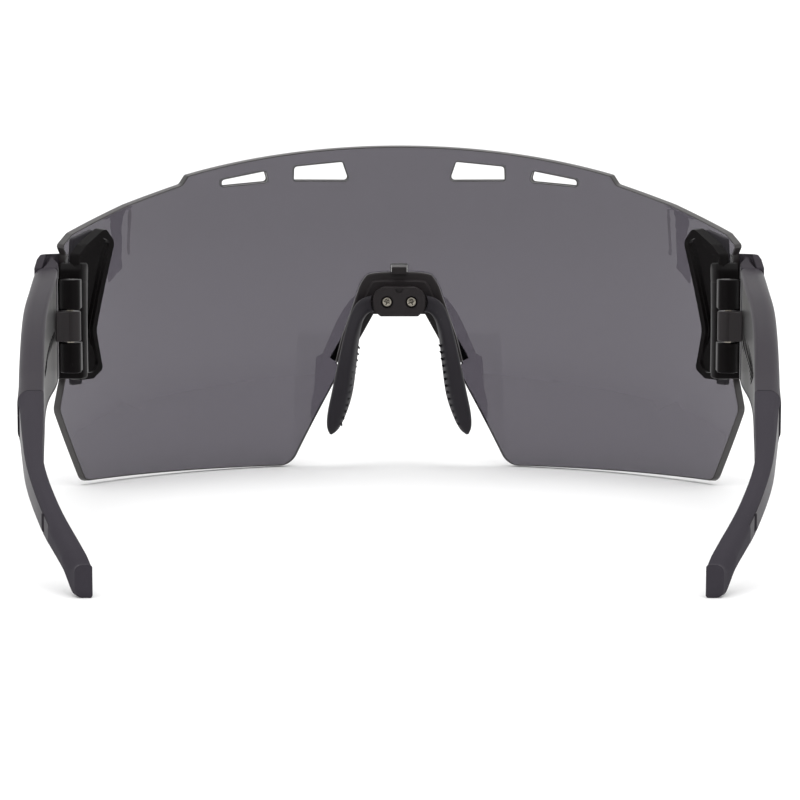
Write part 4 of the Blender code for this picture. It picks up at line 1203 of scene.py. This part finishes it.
def pad_frames():
    """(point, across, rearward, half thickness, half width) along the right pad arm."""
    places = [(x, PAD_AXIS.y - back, PAD_AXIS.z - drop) for x, back, drop, *_ in PAD_STATIONS]
    path = smooth_path(places, PATH_STEPS)
    sizes = smooth_path([station[3:] for station in PAD_STATIONS], PATH_STEPS)
    frames = []
    for k, point in enumerate(path):
        along = (path[min(k + 1, len(path) - 1)] - path[max(k - 1, 0)]).normalized()
        flare = math.radians(PAD_FLARE) * min(1.0, k / (3 * PATH_STEPS))
        rearward = Vector((math.sin(flare), -math.cos(flare), 0))
        rearward = (rearward - along * rearward.dot(along)).normalized()
        frames.append((point, along.cross(rearward), rearward, *sizes[k]))
    return frames


def pad_section(segments=28):
    """A soft-cornered oval section, in half sizes."""
    corners = []
    for k in range(segments):
        angle = 2 * math.pi * k / segments
        across, along = (math.copysign(abs(f(angle)) ** 0.7, f(angle)) for f in (math.cos, math.sin))
        corners.append((across, along))
    return corners


class BuildPads(bpy.types.Operator):
    """Builds the two rubber nose pad arms with their ribs, and finishes the wires inside them"""

    bl_idname = "sunglasses.build_pads"
    bl_label = "Nose pads"

    def execute(self, context):
        settings = look("pads")
        rubber = pad_rubber()
        for label, side in SIDES.items():
            frames = pad_frames()
            rings = [
                [point + across * thick * a + rearward * wide * b for a, b in pad_section()]
                for point, across, rearward, thick, wide in frames
            ]
            arm = placed(f"pad_rubber_{label}", loft(rings), side, rubber)
            well_radius = STACK_RADIUS + GAP + 0.1
            well = bar(side * PAD_AXIS.x, PAD_AXIS.z, well_radius, APEX_Y, RETAINER_BACK_Y - 5, 64)
            combined(arm, well)
            eased(arm, 0.25 * MM, segments=3, angle=45.0)
            ribbed_part = frames[PAD_RIBS_FROM:-PAD_RIBS_END]
            inward = [self.inner_face(point, across, thick) for point, across, _, thick, _ in ribbed_part]
            path = [Vector((side * p.x, p.y, p.z)) for p in inward]
            sizes = (settings.rib_length, settings.rib_width, settings.rib_height)
            ribs = ribbed(f"pad_ribs_{label}", path, settings.rib_count, *sizes, rubber)
            pad = gathered(f"nose_pad_{label}", arm, ribs)
            smoothed(pad)
            shown(pad, f"pad_{label}", "grip_rubber", f"pad_arm_{label}")
            wire = frame["nodes"][f"pad_wire_{label}"]
            wire.data.materials.clear()
            wire.data.materials.append(black_nylon())
        return {"FINISHED"}

    def inner_face(self, point, across, thick):
        """The middle of the pad's face towards the nose."""
        inward = across if across.x < 0 else -across
        return point + inward * (thick - 0.05)


# ---------------------------------------------------------------- side lugs

def panel_corners(inset_by, spill=0.0):
    """The lug's inside panel, in arc and height, moved in by an inset and out to the hinge."""
    top, bottom = PANEL_TOP, PANEL_BOTTOM
    inner, outer = EDGE_ARC - LUG_WIDTH, EDGE_ARC + 0.8 + spill
    return [
        (outer, bottom + inset_by, 0.8),
        (inner + 4.6, bottom + inset_by, 1.2),
        (inner + 1.6 + inset_by, bottom + 1.8 + inset_by, 1.2),
        (EDGE_ARC - LUG_WAIST + inset_by, PANEL_WAIST, 5.0),
        (inner - 1.6 + inset_by, top - 3.0, 2.0),
        (inner + 1.4 + inset_by * 0.4, top - 1.5 * inset_by, 1.4),
        (EDGE_ARC - 1.4, top - 3.4 - 1.5 * inset_by, 4.0),
        (outer, top - 5.4 - 1.5 * inset_by - spill, 1.0),
    ]


def slot_corners():
    """The long slot beside the panel's rim, wider at its lower end."""
    left, right = panel_corners(LUG_RIM_WIDTH + 0.2), panel_corners(LUG_RIM_WIDTH + LUG_SLOT_WIDTH)
    return [
        (left[2][0], left[2][1] + 0.8, 0.5),
        (left[3][0], left[3][1], 3.0),
        (left[4][0], left[4][1], 0.5),
        (right[4][0] - 0.3, right[4][1], 0.5),
        (right[3][0] + 0.7, right[3][1] + 2.5, 1.0),
    ]


def gasket_corners():
    """The soft strip between the lens and the panel, which shows above and below the panel."""
    top, bottom = PANEL_TOP, PANEL_BOTTOM
    return [
        (EDGE_ARC - 0.5, bottom - GASKET_RISE, 0.5),
        (EDGE_ARC - 3.4, bottom - GASKET_RISE, 0.5),
        (EDGE_ARC - 4.0, bottom + 1.5, 1.0),
        (EDGE_ARC - LUG_WAIST + 1.6, PANEL_WAIST, 4.0),
        (EDGE_ARC - 7.6, top - 3.4, 1.0),
        (EDGE_ARC - 6.6, top - 0.6, 0.8),
        (EDGE_ARC - 0.3, top - 3.6 + GASKET_RISE, 0.6),
        (EDGE_ARC - 0.3, top - 6.6, 1.0),
    ]


def plan(height, *places):
    """Where these arcs and depths on the lens are in plan, at a height."""
    return [on_lens(arc, height, depth).xy for arc, depth in places]


def closed_section(height, edge_places, outer_places, rear_shift):
    """A lug section in plan: inside the panel, past the lens's edge, along the seam, and back."""
    inner = EDGE_ARC - 3.6
    front = plan(height, (inner, PANEL_BACK - 0.2), (inner, PANEL_FRONT + 0.1), *edge_places)
    rear = [
        *outer_places,
        (HINGE.x - KNUCKLE_RADIUS + 0.2, SEAM_Y + rear_shift),
        (HINGE.x - KNUCKLE_RADIUS - 0.6, SEAM_Y + 1.6 + rear_shift),
    ]
    return front + [Vector(p) for p in rear]


def lug_section(height, rear_shift=0.0):
    """The lug's hinge block in plan at a height, around the lens's side edge."""
    edge = [(EDGE_ARC + GAP, PANEL_FRONT + 0.1), (EDGE_ARC + GAP, -0.1)]
    x = CAP_OUTER_X - CAP_WALL - GAP
    outer = [(x - 0.3, SEAM_Y + 2.2 + rear_shift / 2), (x - rear_shift / 4, SEAM_Y + rear_shift)]
    return closed_section(height, edge, outer, rear_shift)


def ridge_section(height, rear_shift=0.0):
    """The dark ridge in plan that fills in between the panel and the cap's roof, above the block."""
    x = CAP_OUTER_X - TEMPLE_STATIONS[0][4] - GAP
    outer = [(x, SEAM_Y + 1.9 + rear_shift / 2), (x, SEAM_Y + rear_shift)]
    return closed_section(height, [(EDGE_ARC + 0.4, PANEL_FRONT + 0.1)], outer, rear_shift)


def roof_rings():
    """The cap's roof, in X and Z sections from the seam up to the lens's side edge."""
    low, shoulder = block_top() + GAP, TEMPLE_STATIONS[0][2]
    seam_inner = CAP_OUTER_X - TEMPLE_STATIONS[0][4]
    inner_places = (seam_inner, seam_inner, seam_inner + 0.3, seam_inner + 1.1, EDGE_X + GAP)
    rings = []
    for k, inner in enumerate(inner_places):
        share = k / (len(inner_places) - 1)
        y = SEAM_Y + share * (LUG_SEAM_BEHIND_EDGE - 0.1)
        top = shoulder + share * (NOTCH_TOP - shoulder - 0.2)
        outer = CAP_OUTER_X - 0.5 - 2.1 * share
        slope_in = min(1.3, 0.4 * (outer - inner))
        corners = [(inner, low), (outer, low), (outer, top - slope_in)]
        corners += [(outer - slope_in, top), (inner + 0.3, top), (inner, top - 0.3)]
        rings.append([Vector((x, y, z)) for x, z in corners])
    return rings


def cap_section(height, lip=CAP_LIP, pull_in=0.0, rear_shift=0.0):
    """The outer cap in plan: a lip over the lens's front, then a wall round the hinge block."""
    block = lug_section(height, rear_shift)
    outer = CAP_OUTER_X - pull_in
    front = -GAP - lip
    lip_and_nose = plan(
        height,
        (EDGE_ARC - CAP_LIP_REACH, -GAP),
        (EDGE_ARC - CAP_LIP_REACH, front * 0.8),
        (EDGE_ARC - 1.0, front - 0.2),
        (EDGE_ARC + 1.0, front - 0.3),
    )
    rear = [Vector((outer - 0.6, SEAM_Y + 2.4 + rear_shift / 2)), Vector((outer, SEAM_Y + rear_shift))]
    inside = [block[5] + Vector((GAP, 0)), block[4] + Vector((GAP, GAP * 0.4)), block[3] + Vector((GAP, GAP))]
    return lip_and_nose + rear + inside


def sections_loft(levels):
    """A loft of plan outlines, each at its own height."""
    return loft([[Vector((p.x, p.y, z)) for p in outline] for outline, z in levels])


def knuckle_heights():
    """(low, high) of the lug's lower knuckle, the temple's knuckle and the lug's upper one."""
    low = HINGE.z - 1.5 * KNUCKLE_HEIGHT - GAP
    step = KNUCKLE_HEIGHT + GAP
    return [(low + k * step, low + k * step + KNUCKLE_HEIGHT) for k in range(3)]


def block_top():
    """Top of the hinge block, just below the top of the upper knuckle."""
    return knuckle_heights()[2][1] - 0.5


class BuildLugs(bpy.types.Operator):
    """Builds the inside panels with their hinge knuckles, the lens gaskets and the hinge pins"""

    bl_idname = "sunglasses.build_lugs"
    bl_label = "Lug panels and gaskets"

    def execute(self, context):
        settings = look("lugs")
        for label, side in SIDES.items():
            self.build_carrier(label, side, settings)
            self.build_gasket(label, side)
            self.build_pin(label, side)
        return {"FINISHED"}

    def build_carrier(self, label, side, settings):
        # the panel is black nylon with painted shade
        finish = panel_nylon()
        top_depth = PANEL_BACK + LUG_RIM_HEIGHT
        panel = placed("panel", stack(rounded(panel_corners(0)), [(0, PANEL_FRONT), (0, top_depth)]))
        pocket = stack(rounded(panel_corners(LUG_RIM_WIDTH, 1.0)), [(0, PANEL_BACK), (0, top_depth + 1)])
        slot = stack(rounded(slot_corners()), [(0, PANEL_BACK - LUG_SLOT_DEPTH), (0, top_depth + 1)])
        combined(panel, placed("pocket", pocket))
        combined(panel, placed("slot", slot))
        eased(panel, settings.edge_round, segments=3)
        wrapped(panel, side, finish)
        low, shoulder = NOTCH_BOTTOM, TEMPLE_STATIONS[0][2]
        heights = [low + (block_top() - low) * k / 8 for k in range(9)]
        solid = sections_loft([(lug_section(z), z) for z in heights])
        block = eased(placed("block", solid, side, finish), settings.block_round)
        places = [(block_top() - 0.6, 0), (shoulder - 0.4, 0), (shoulder + 1, 1.4)]
        solid = sections_loft([(ridge_section(z, shift), z) for z, shift in places])
        ridge = eased(placed("ridge", solid, side, finish), settings.block_round)
        parts = [panel, block, ridge]
        lower, _, upper = knuckle_heights()
        for bottom, top in (lower, upper):
            barrel = rod(HINGE.x, HINGE.y, KNUCKLE_RADIUS, bottom, top, KNUCKLE_EASE)
            parts.append(hinge_piece("knuckle", barrel, side, finish))
            left, right = HINGE.x - KNUCKLE_RADIUS + 0.1, HINGE.x + KNUCKLE_RADIUS - 0.3
            web = rectangle(left, HINGE.y, right, SEAM_Y + 0.6)
            solid = stack(web, eased_levels(bottom + 0.1, top - 0.1, 0.2), upright=True)
            parts.append(hinge_piece("web", solid, side, finish))
        carrier = gathered(f"lug_panel_{label}", *parts)
        smoothed(carrier)
        shown(carrier, "front", "black_nylon", f"lug_carrier_{label}")
        carrier.visible_glossy = False

    def build_gasket(self, label, side):
        levels = eased_levels(GASKET_FRONT, GASKET_FRONT + GASKET_THICKNESS, 0.3)
        strip = placed(f"gasket_strip_{label}", stack(rounded(gasket_corners()), levels))
        gasket = wrapped(strip, side, pad_rubber())
        shown(gasket, "front", "grip_rubber", f"lens_gasket_{label}")
        gasket.visible_glossy = False

    def build_pin(self, label, side):
        steel = turned_steel()
        lower, _, upper = knuckle_heights()
        shank = rod(HINGE.x, HINGE.y, PIN_RADIUS, lower[0] + 0.2, upper[1] - 0.3)
        head_low = upper[1] - PIN_HEAD_HEIGHT
        head = rod(HINGE.x, HINGE.y, PIN_HEAD_RADIUS, head_low, upper[1] - 0.1, 0.2)
        pin = gathered(f"pin_{label}", placed("shank", shank, side, steel), placed("head", head, side, steel))
        smoothed(pin)
        shown(pin, "front", "steel", f"hinge_pin_{label}")


class BuildCaps(bpy.types.Operator):
    """Builds the outer caps that close round the lens's side edges"""

    bl_idname = "sunglasses.build_caps"
    bl_label = "Lug caps"

    def execute(self, context):
        settings = look("lugs")
        for label, side in SIDES.items():
            finish = grey_nylon()
            wall = placed("cap_wall", sections_loft(self.levels()), side, finish)
            eased(wall, settings.block_round, 3)
            roof = eased(placed("cap_roof", loft(roof_rings()), side, finish), settings.block_round * 0.8, 3)
            cap = gathered(f"cap_shell_{label}", wall, roof)
            smoothed(cap)
            shown(cap, "front", "grey_nylon", f"lug_cap_{label}")
        return {"FINISHED"}

    def levels(self):
        low, high = NOTCH_BOTTOM - 0.2, NOTCH_TOP
        shoulder = TEMPLE_STATIONS[0][2]
        rise = high - shoulder
        straight = [low + 1.4 + (shoulder - low - 1.4) * k / 9 for k in range(10)]
        return [
            (cap_section(low, CAP_LIP * 0.6, 0.8), low),
            *[(cap_section(z), z) for z in straight],
            (cap_section(high - 1, CAP_LIP, 0.3, rise - 1), high - 1),
            (cap_section(high, CAP_LIP * 0.6, 0.9, rise), high),
        ]


# ---------------------------------------------------------------- temples

def temple_path():
    """Stations along the temple, none of them below the table."""
    path = smooth_path(TEMPLE_STATIONS, PATH_STEPS)
    return [Vector((*station[:3], max(0.0, station[3]), station[4])) for station in path]


def station_at(share, path):
    """The temple's station at a share of its reach."""
    for before, after in zip(path, path[1:]):
        if share <= after[0]:
            return before.lerp(after, (share - before[0]) / (after[0] - before[0]))
    return path[-1]


def temple_section(inward, top, bottom, thickness):
    """The temple's outline in X and Z, squarer inside than outside."""
    outer = TEMPLE_OUTER_X - inward
    inner = outer - thickness
    size = min(thickness, top - bottom)
    soft, crisp = 0.44 * size, 0.17 * size
    corners = [(inner, bottom, crisp), (outer, bottom, soft), (outer, top, soft), (inner, top, crisp)]
    return rounded(corners, steps=7)


def temple_rings(first, last, section, sweep_first=0.0, sweep_last=0.0):
    """Rings of the temple between two shares of its reach. A swept end runs back on its outer side."""
    path = temple_path()
    margin = 2.5 / TEMPLE_REACH
    shares = [s[0] for s in path if first + margin < s[0] < last - (margin if last < 1 else 0)]
    front = SEAM_Y - GAP
    rings = []
    for share in [first, *shares, last]:
        station = station_at(share, path)
        sweep = sweep_first if share == first else sweep_last if share == last else 0.0
        middle = TEMPLE_OUTER_X - station[1] - station[4] / 2
        ring = []
        for p in section(*station[1:]):
            outward = max(0.0, (p.x - middle) / (station[4] / 2))
            ring.append(Vector((p.x, front - share * TEMPLE_REACH - sweep * outward ** 2, p.y)))
        rings.append(ring)
    return rings


def strip_section(grow, outward):
    """The hard strip that shows on the grip's outer side, in X and Z."""
    def outline(inward, top, bottom, thickness):
        outer = TEMPLE_OUTER_X - inward + outward
        inner = TEMPLE_OUTER_X - inward - STRIP_DEPTH - grow
        middle = (top + bottom) / 2
        half = (top - bottom) * STRIP_HALF_HEIGHT_SHARE + grow
        return rectangle(inner, middle - half, outer, middle + half)
    return outline


def inlay_section(grow, proud):
    """The inlay let into the temple's inner face, in X and Z."""
    def outline(inward, top, bottom, thickness):
        face = TEMPLE_OUTER_X - inward - thickness
        low, high = bottom + INLAY_MARGIN - grow, top - INLAY_MARGIN + grow
        return rectangle(face - proud, low, face + INLAY_THICKNESS + grow, high)
    return outline


class BuildTemples(bpy.types.Operator):
    """Builds the hard temple arms with their hinge knuckles and the inlays in their inner faces"""

    bl_idname = "sunglasses.build_temples"
    bl_label = "Temple arms and inlays"

    def execute(self, context):
        settings = look("temples")
        for label, side in SIDES.items():
            self.build_arm(label, side, settings)
            self.build_inlay(label, side, settings)
        return {"FINISHED"}

    def build_arm(self, label, side, settings):
        grey = grey_nylon()
        sweep = settings.seam_sweep / MM
        rings = temple_rings(0, GRIP_START, temple_section, sweep_last=sweep)
        arm = placed(f"temple_shell_{label}", loft(rings), side, grey)
        cutters = []
        lower, middle, upper = knuckle_heights()
        turning = KNUCKLE_RADIUS + GAP
        for bottom, top in (lower, upper):
            swing = rod(HINGE.x, HINGE.y, turning, bottom - GAP, top + GAP, 0.01, 64)
            cutters.append(placed("swing", swing, side))
            sweep_box = rectangle(HINGE.x - turning, HINGE.y, HINGE.x + KNUCKLE_RADIUS, SEAM_Y + 1)
            levels = [(0, bottom - GAP), (0, top + GAP)]
            cutters.append(placed("swing_box", stack(sweep_box, levels, upright=True), side))
        gap = GAP / TEMPLE_REACH
        recess = temple_rings(INLAY_FROM - gap, INLAY_TO + gap, inlay_section(GAP * 0.5, 2.0))
        cutters.append(placed("recess", loft(recess), side))
        combined(arm, *cutters)
        eased(arm, settings.edge_round)
        self.build_knuckle(label, side, *middle)
        start = GRIP_START - 2.0 / TEMPLE_REACH
        strip_rings = temple_rings(start, STRIP_END, strip_section(-0.05, -STRIP_SINK))
        strip = placed("strip", loft(strip_rings), side, grey)
        combined(strip, self.end_slot(side))
        eased(strip, 0.3 * MM, segments=3)
        shell = gathered(f"temple_arm_shell_{label}", arm, strip)
        smoothed(shell)
        shown(shell, f"temple_{label}", "grey_nylon", f"temple_arm_{label}")
        shell.visible_glossy = False

    def build_knuckle(self, label, side, bottom, top):
        """The temple's black knuckle, tied to the arm by a web."""
        black = black_nylon()
        barrel = rod(HINGE.x, HINGE.y, KNUCKLE_RADIUS, bottom, top, KNUCKLE_EASE)
        knuckle = hinge_piece("knuckle", barrel, side, black)
        reach, rear, front = HINGE.x + 4, HINGE.y - KNUCKLE_RADIUS, HINGE.y + KNUCKLE_RADIUS - 0.2
        corners = [Vector(c) for c in ((HINGE.x, rear), (reach, rear - 2), (reach, front), (HINGE.x, front))]
        solid = stack(corners, eased_levels(bottom + 0.1, top - 0.1, 0.2), upright=True)
        web = hinge_piece("web", solid, side, black)
        shown(gathered(f"temple_knuckle_{label}", knuckle, web), f"temple_{label}", "black_nylon")

    def end_slot(self, side):
        """The little slot at the strip's rear end."""
        share = STRIP_END - 3.2 / TEMPLE_REACH
        station = station_at(share, temple_path())
        y = SEAM_Y - GAP - share * TEMPLE_REACH
        outer, middle = TEMPLE_OUTER_X - station[1], (station[2] + station[3]) / 2
        mouth = rectangle(y - 0.8, middle - 1.6, y + 0.8, middle + 1.6, 0.5)
        slot = stack(mouth, [(0, outer - 1.6), (0, outer + 2.0)])
        turn = Matrix(((0, 1, 0), (1, 0, 0), (0, 0, 1)))
        bmesh.ops.transform(slot, matrix=turn.to_4x4(), verts=slot.verts)
        return placed("slot", slot, side)

    def build_inlay(self, label, side, settings):
        """A smooth inlay, a touch below the arm's face, with a band of slanted ribs."""
        # the inlay is real black nylon, with painted shade on top
        finish = panel_nylon()
        rings = temple_rings(INLAY_FROM, INLAY_TO, inlay_section(GAP * 0.3, -INLAY_SINK))
        plate = eased(placed(f"inlay_{label}", loft(rings), side, finish), 0.2 * MM)
        stations = temple_path()
        path = []
        for k in range(24):
            share = INLAY_FROM + (INLAY_TO - INLAY_FROM) * (0.18 + 0.5 * k / 23)
            _, inward, top, bottom, thickness = station_at(share, stations)
            face = TEMPLE_OUTER_X - inward - thickness + INLAY_SINK
            y = SEAM_Y - GAP - share * TEMPLE_REACH
            path.append(Vector((face, y, (top + bottom) / 2)))
        ribs = self.upright_ribs(f"inlay_ribs_{label}", path, side, settings, finish)
        inlay = gathered(f"temple_inlay_plate_{label}", plate, ribs)
        smoothed(inlay)
        shown(inlay, f"temple_{label}", "black_nylon", f"temple_inlay_{label}")
        inlay.visible_glossy = False

    def upright_ribs(self, name, path, side, settings, finish):
        """Ribs that stand across the inlay. They are laid out lying down, then turned up."""
        turn = Matrix.Rotation(math.pi / 2, 4, "X")
        laid = [turn.inverted() @ Vector((side * p.x, p.y, p.z)) for p in path]
        sizes = (INLAY_RIB_LENGTH * MM, INLAY_RIB_WIDTH * MM, settings.rib_height)
        ribs = ribbed(name, laid, settings.rib_count, *sizes, finish)
        ribs.data.transform(turn)
        return ribs


class BuildGrips(bpy.types.Operator):
    """Builds the rubber grips round the rear half of each temple"""

    bl_idname = "sunglasses.build_grips"
    bl_label = "Temple grips"

    def execute(self, context):
        settings = look("temples")
        gap = GAP / TEMPLE_REACH
        sweep = settings.seam_sweep / MM
        for label, side in SIDES.items():
            rings = temple_rings(GRIP_START + gap * 0.6, 1.0, temple_section, sweep_first=sweep)
            rings.append(self.shrunk(rings[-1]))
            grip = placed(f"temple_grip_shell_{label}", loft(rings), side, grip_rubber())
            channel = temple_rings(GRIP_START - 0.02, STRIP_END + gap * 0.5, strip_section(GAP * 0.4, 2.0))
            combined(grip, placed("channel", loft(channel), side))
            eased(grip, settings.edge_round, segments=3, angle=38.0)
            shown(grip, f"temple_{label}", "grip_rubber", f"temple_grip_{label}")
            grip.visible_glossy = False
        return {"FINISHED"}

    def shrunk(self, ring):
        """A smaller ring that rounds off the tip."""
        middle = sum(ring, Vector()) / len(ring)
        return [middle + (p - middle) * 0.55 + Vector((0, -0.35, 0)) for p in ring]


# ---------------------------------------------------------------- stage

class BuildStudio(bpy.types.Operator):
    """Builds the seamless paper, the soft light and the camera"""

    bl_idname = "sunglasses.build_studio"
    bl_label = "Studio"

    def execute(self, context):
        settings = look("studio")
        self.build_paper(settings)
        self.build_light(settings)
        self.build_opening(settings)
        self.build_camera(settings)
        context.scene.view_settings.view_transform = "Standard"
        return {"FINISHED"}

    def build_paper(self, settings):
        """Seamless paper: a flat floor that curves up to a wall behind the glasses."""
        bend, start, wall = 0.5, 1.2, 1.8
        profile = [(-1.6, 0.0), (start, 0.0)]
        for k in range(1, 17):
            angle = math.pi / 2 * k / 16
            profile.append((start + bend * math.sin(angle), bend * (1 - math.cos(angle))))
        profile.append((start + bend, wall))
        paper = bmesh.new()
        rows = [[paper.verts.new((x, y, z)) for x in (-2.2, 2.2)] for y, z in profile]
        for near, far in zip(rows, rows[1:]):
            paper.faces.new((near[0], near[1], far[1], far[0]))
        mesh = mesh_of("paper", paper)
        mesh.shade_smooth()
        floor = new_object("paper", mesh)
        made, _, shader = new_material("seamless_paper")
        shader.inputs["Base Color"].default_value = (*settings.paper, 1)
        shader.inputs["Roughness"].default_value = 0.9
        shader.inputs["Specular IOR Level"].default_value = 0.1
        mesh.materials.append(made)

    def build_light(self, settings):
        world = bpy.data.worlds.new("white_room")
        world.use_nodes = True
        sky = world.node_tree.nodes["Background"]
        sky.inputs["Color"].default_value = (1, 1, 1, 1)
        sky.inputs["Strength"].default_value = settings.daylight
        bpy.context.scene.world = world
        lamp = bpy.data.lights.new("top_softbox", "AREA")
        lamp.shape = "RECTANGLE"
        lamp.size, lamp.size_y = 1.6, 1.2
        lamp.energy = settings.top_power
        new_object("top_softbox", lamp).location = (0, 0.1, 1.3)

    def build_opening(self, settings):
        """The dark opening that the camera looks through, seen only in reflections."""
        disc = bmesh.new()
        bmesh.ops.create_circle(disc, cap_ends=True, radius=settings.opening, segments=96)
        opening = new_object("dark_opening", mesh_of("dark_opening", disc))
        opening.location = (0, -settings.distance - 0.02, CAMERA_HEIGHT * MM)
        opening.rotation_euler = (math.pi / 2 - CAMERA_PITCH, 0, 0)
        made, _, shader = new_material("dark_opening")
        shader.inputs["Base Color"].default_value = (0.002, 0.002, 0.002, 1)
        shader.inputs["Specular IOR Level"].default_value = 0.0
        opening.data.materials.append(made)
        for ray in ("camera", "diffuse", "transmission", "volume_scatter", "shadow"):
            setattr(opening, f"visible_{ray}", False)

    def build_camera(self, settings):
        lens = bpy.data.cameras.new("camera")
        lens.sensor_width = 36
        lens.lens = CAMERA_FOCAL
        lens.shift_x = CAMERA_SHIFT
        camera = new_object("camera", lens)
        camera.location = (0, -settings.distance, CAMERA_HEIGHT * MM)
        camera.rotation_euler = (math.pi / 2 - CAMERA_PITCH, 0, 0)
        bpy.context.scene.camera = camera


# ---------------------------------------------------------------- panel and registration

BUILDERS = (
    BuildLens,
    BuildBridge,
    BuildScrews,
    BuildPads,
    BuildLugs,
    BuildCaps,
    BuildTemples,
    BuildGrips,
    BuildStudio,
)


class SunglassesPanel(bpy.types.Panel):
    """Sizes, finishes and builders of the sunglasses"""

    bl_idname = "VIEW3D_PT_sunglasses"
    bl_label = "Shield Sunglasses"
    bl_space_type = "VIEW_3D"
    bl_region_type = "UI"
    bl_category = "Sunglasses"

    def draw(self, context):
        for part in LOOKS:
            box = self.layout.box()
            box.label(text=part.capitalize())
            settings = look(part)
            for name in settings.bl_rna.properties.keys():
                if name not in ("name", "rna_type"):
                    box.prop(settings, name)
        for builder in BUILDERS:
            self.layout.operator(builder.bl_idname)


def register():
    for made in (*LOOKS.values(), *BUILDERS, SunglassesPanel):
        bpy.utils.register_class(made)
    for part, group in LOOKS.items():
        setattr(bpy.types.Scene, f"sunglasses_{part}", PointerProperty(type=group))


def unregister():
    for part in LOOKS:
        delattr(bpy.types.Scene, f"sunglasses_{part}")
    for made in reversed((*LOOKS.values(), *BUILDERS, SunglassesPanel)):
        bpy.utils.unregister_class(made)


def main():
    register()
    for builder in BUILDERS:
        group, name = builder.bl_idname.split(".")
        getattr(getattr(bpy.ops, group), name)()
    bpy.context.view_layer.update()


if __name__ == "__main__":
    main()
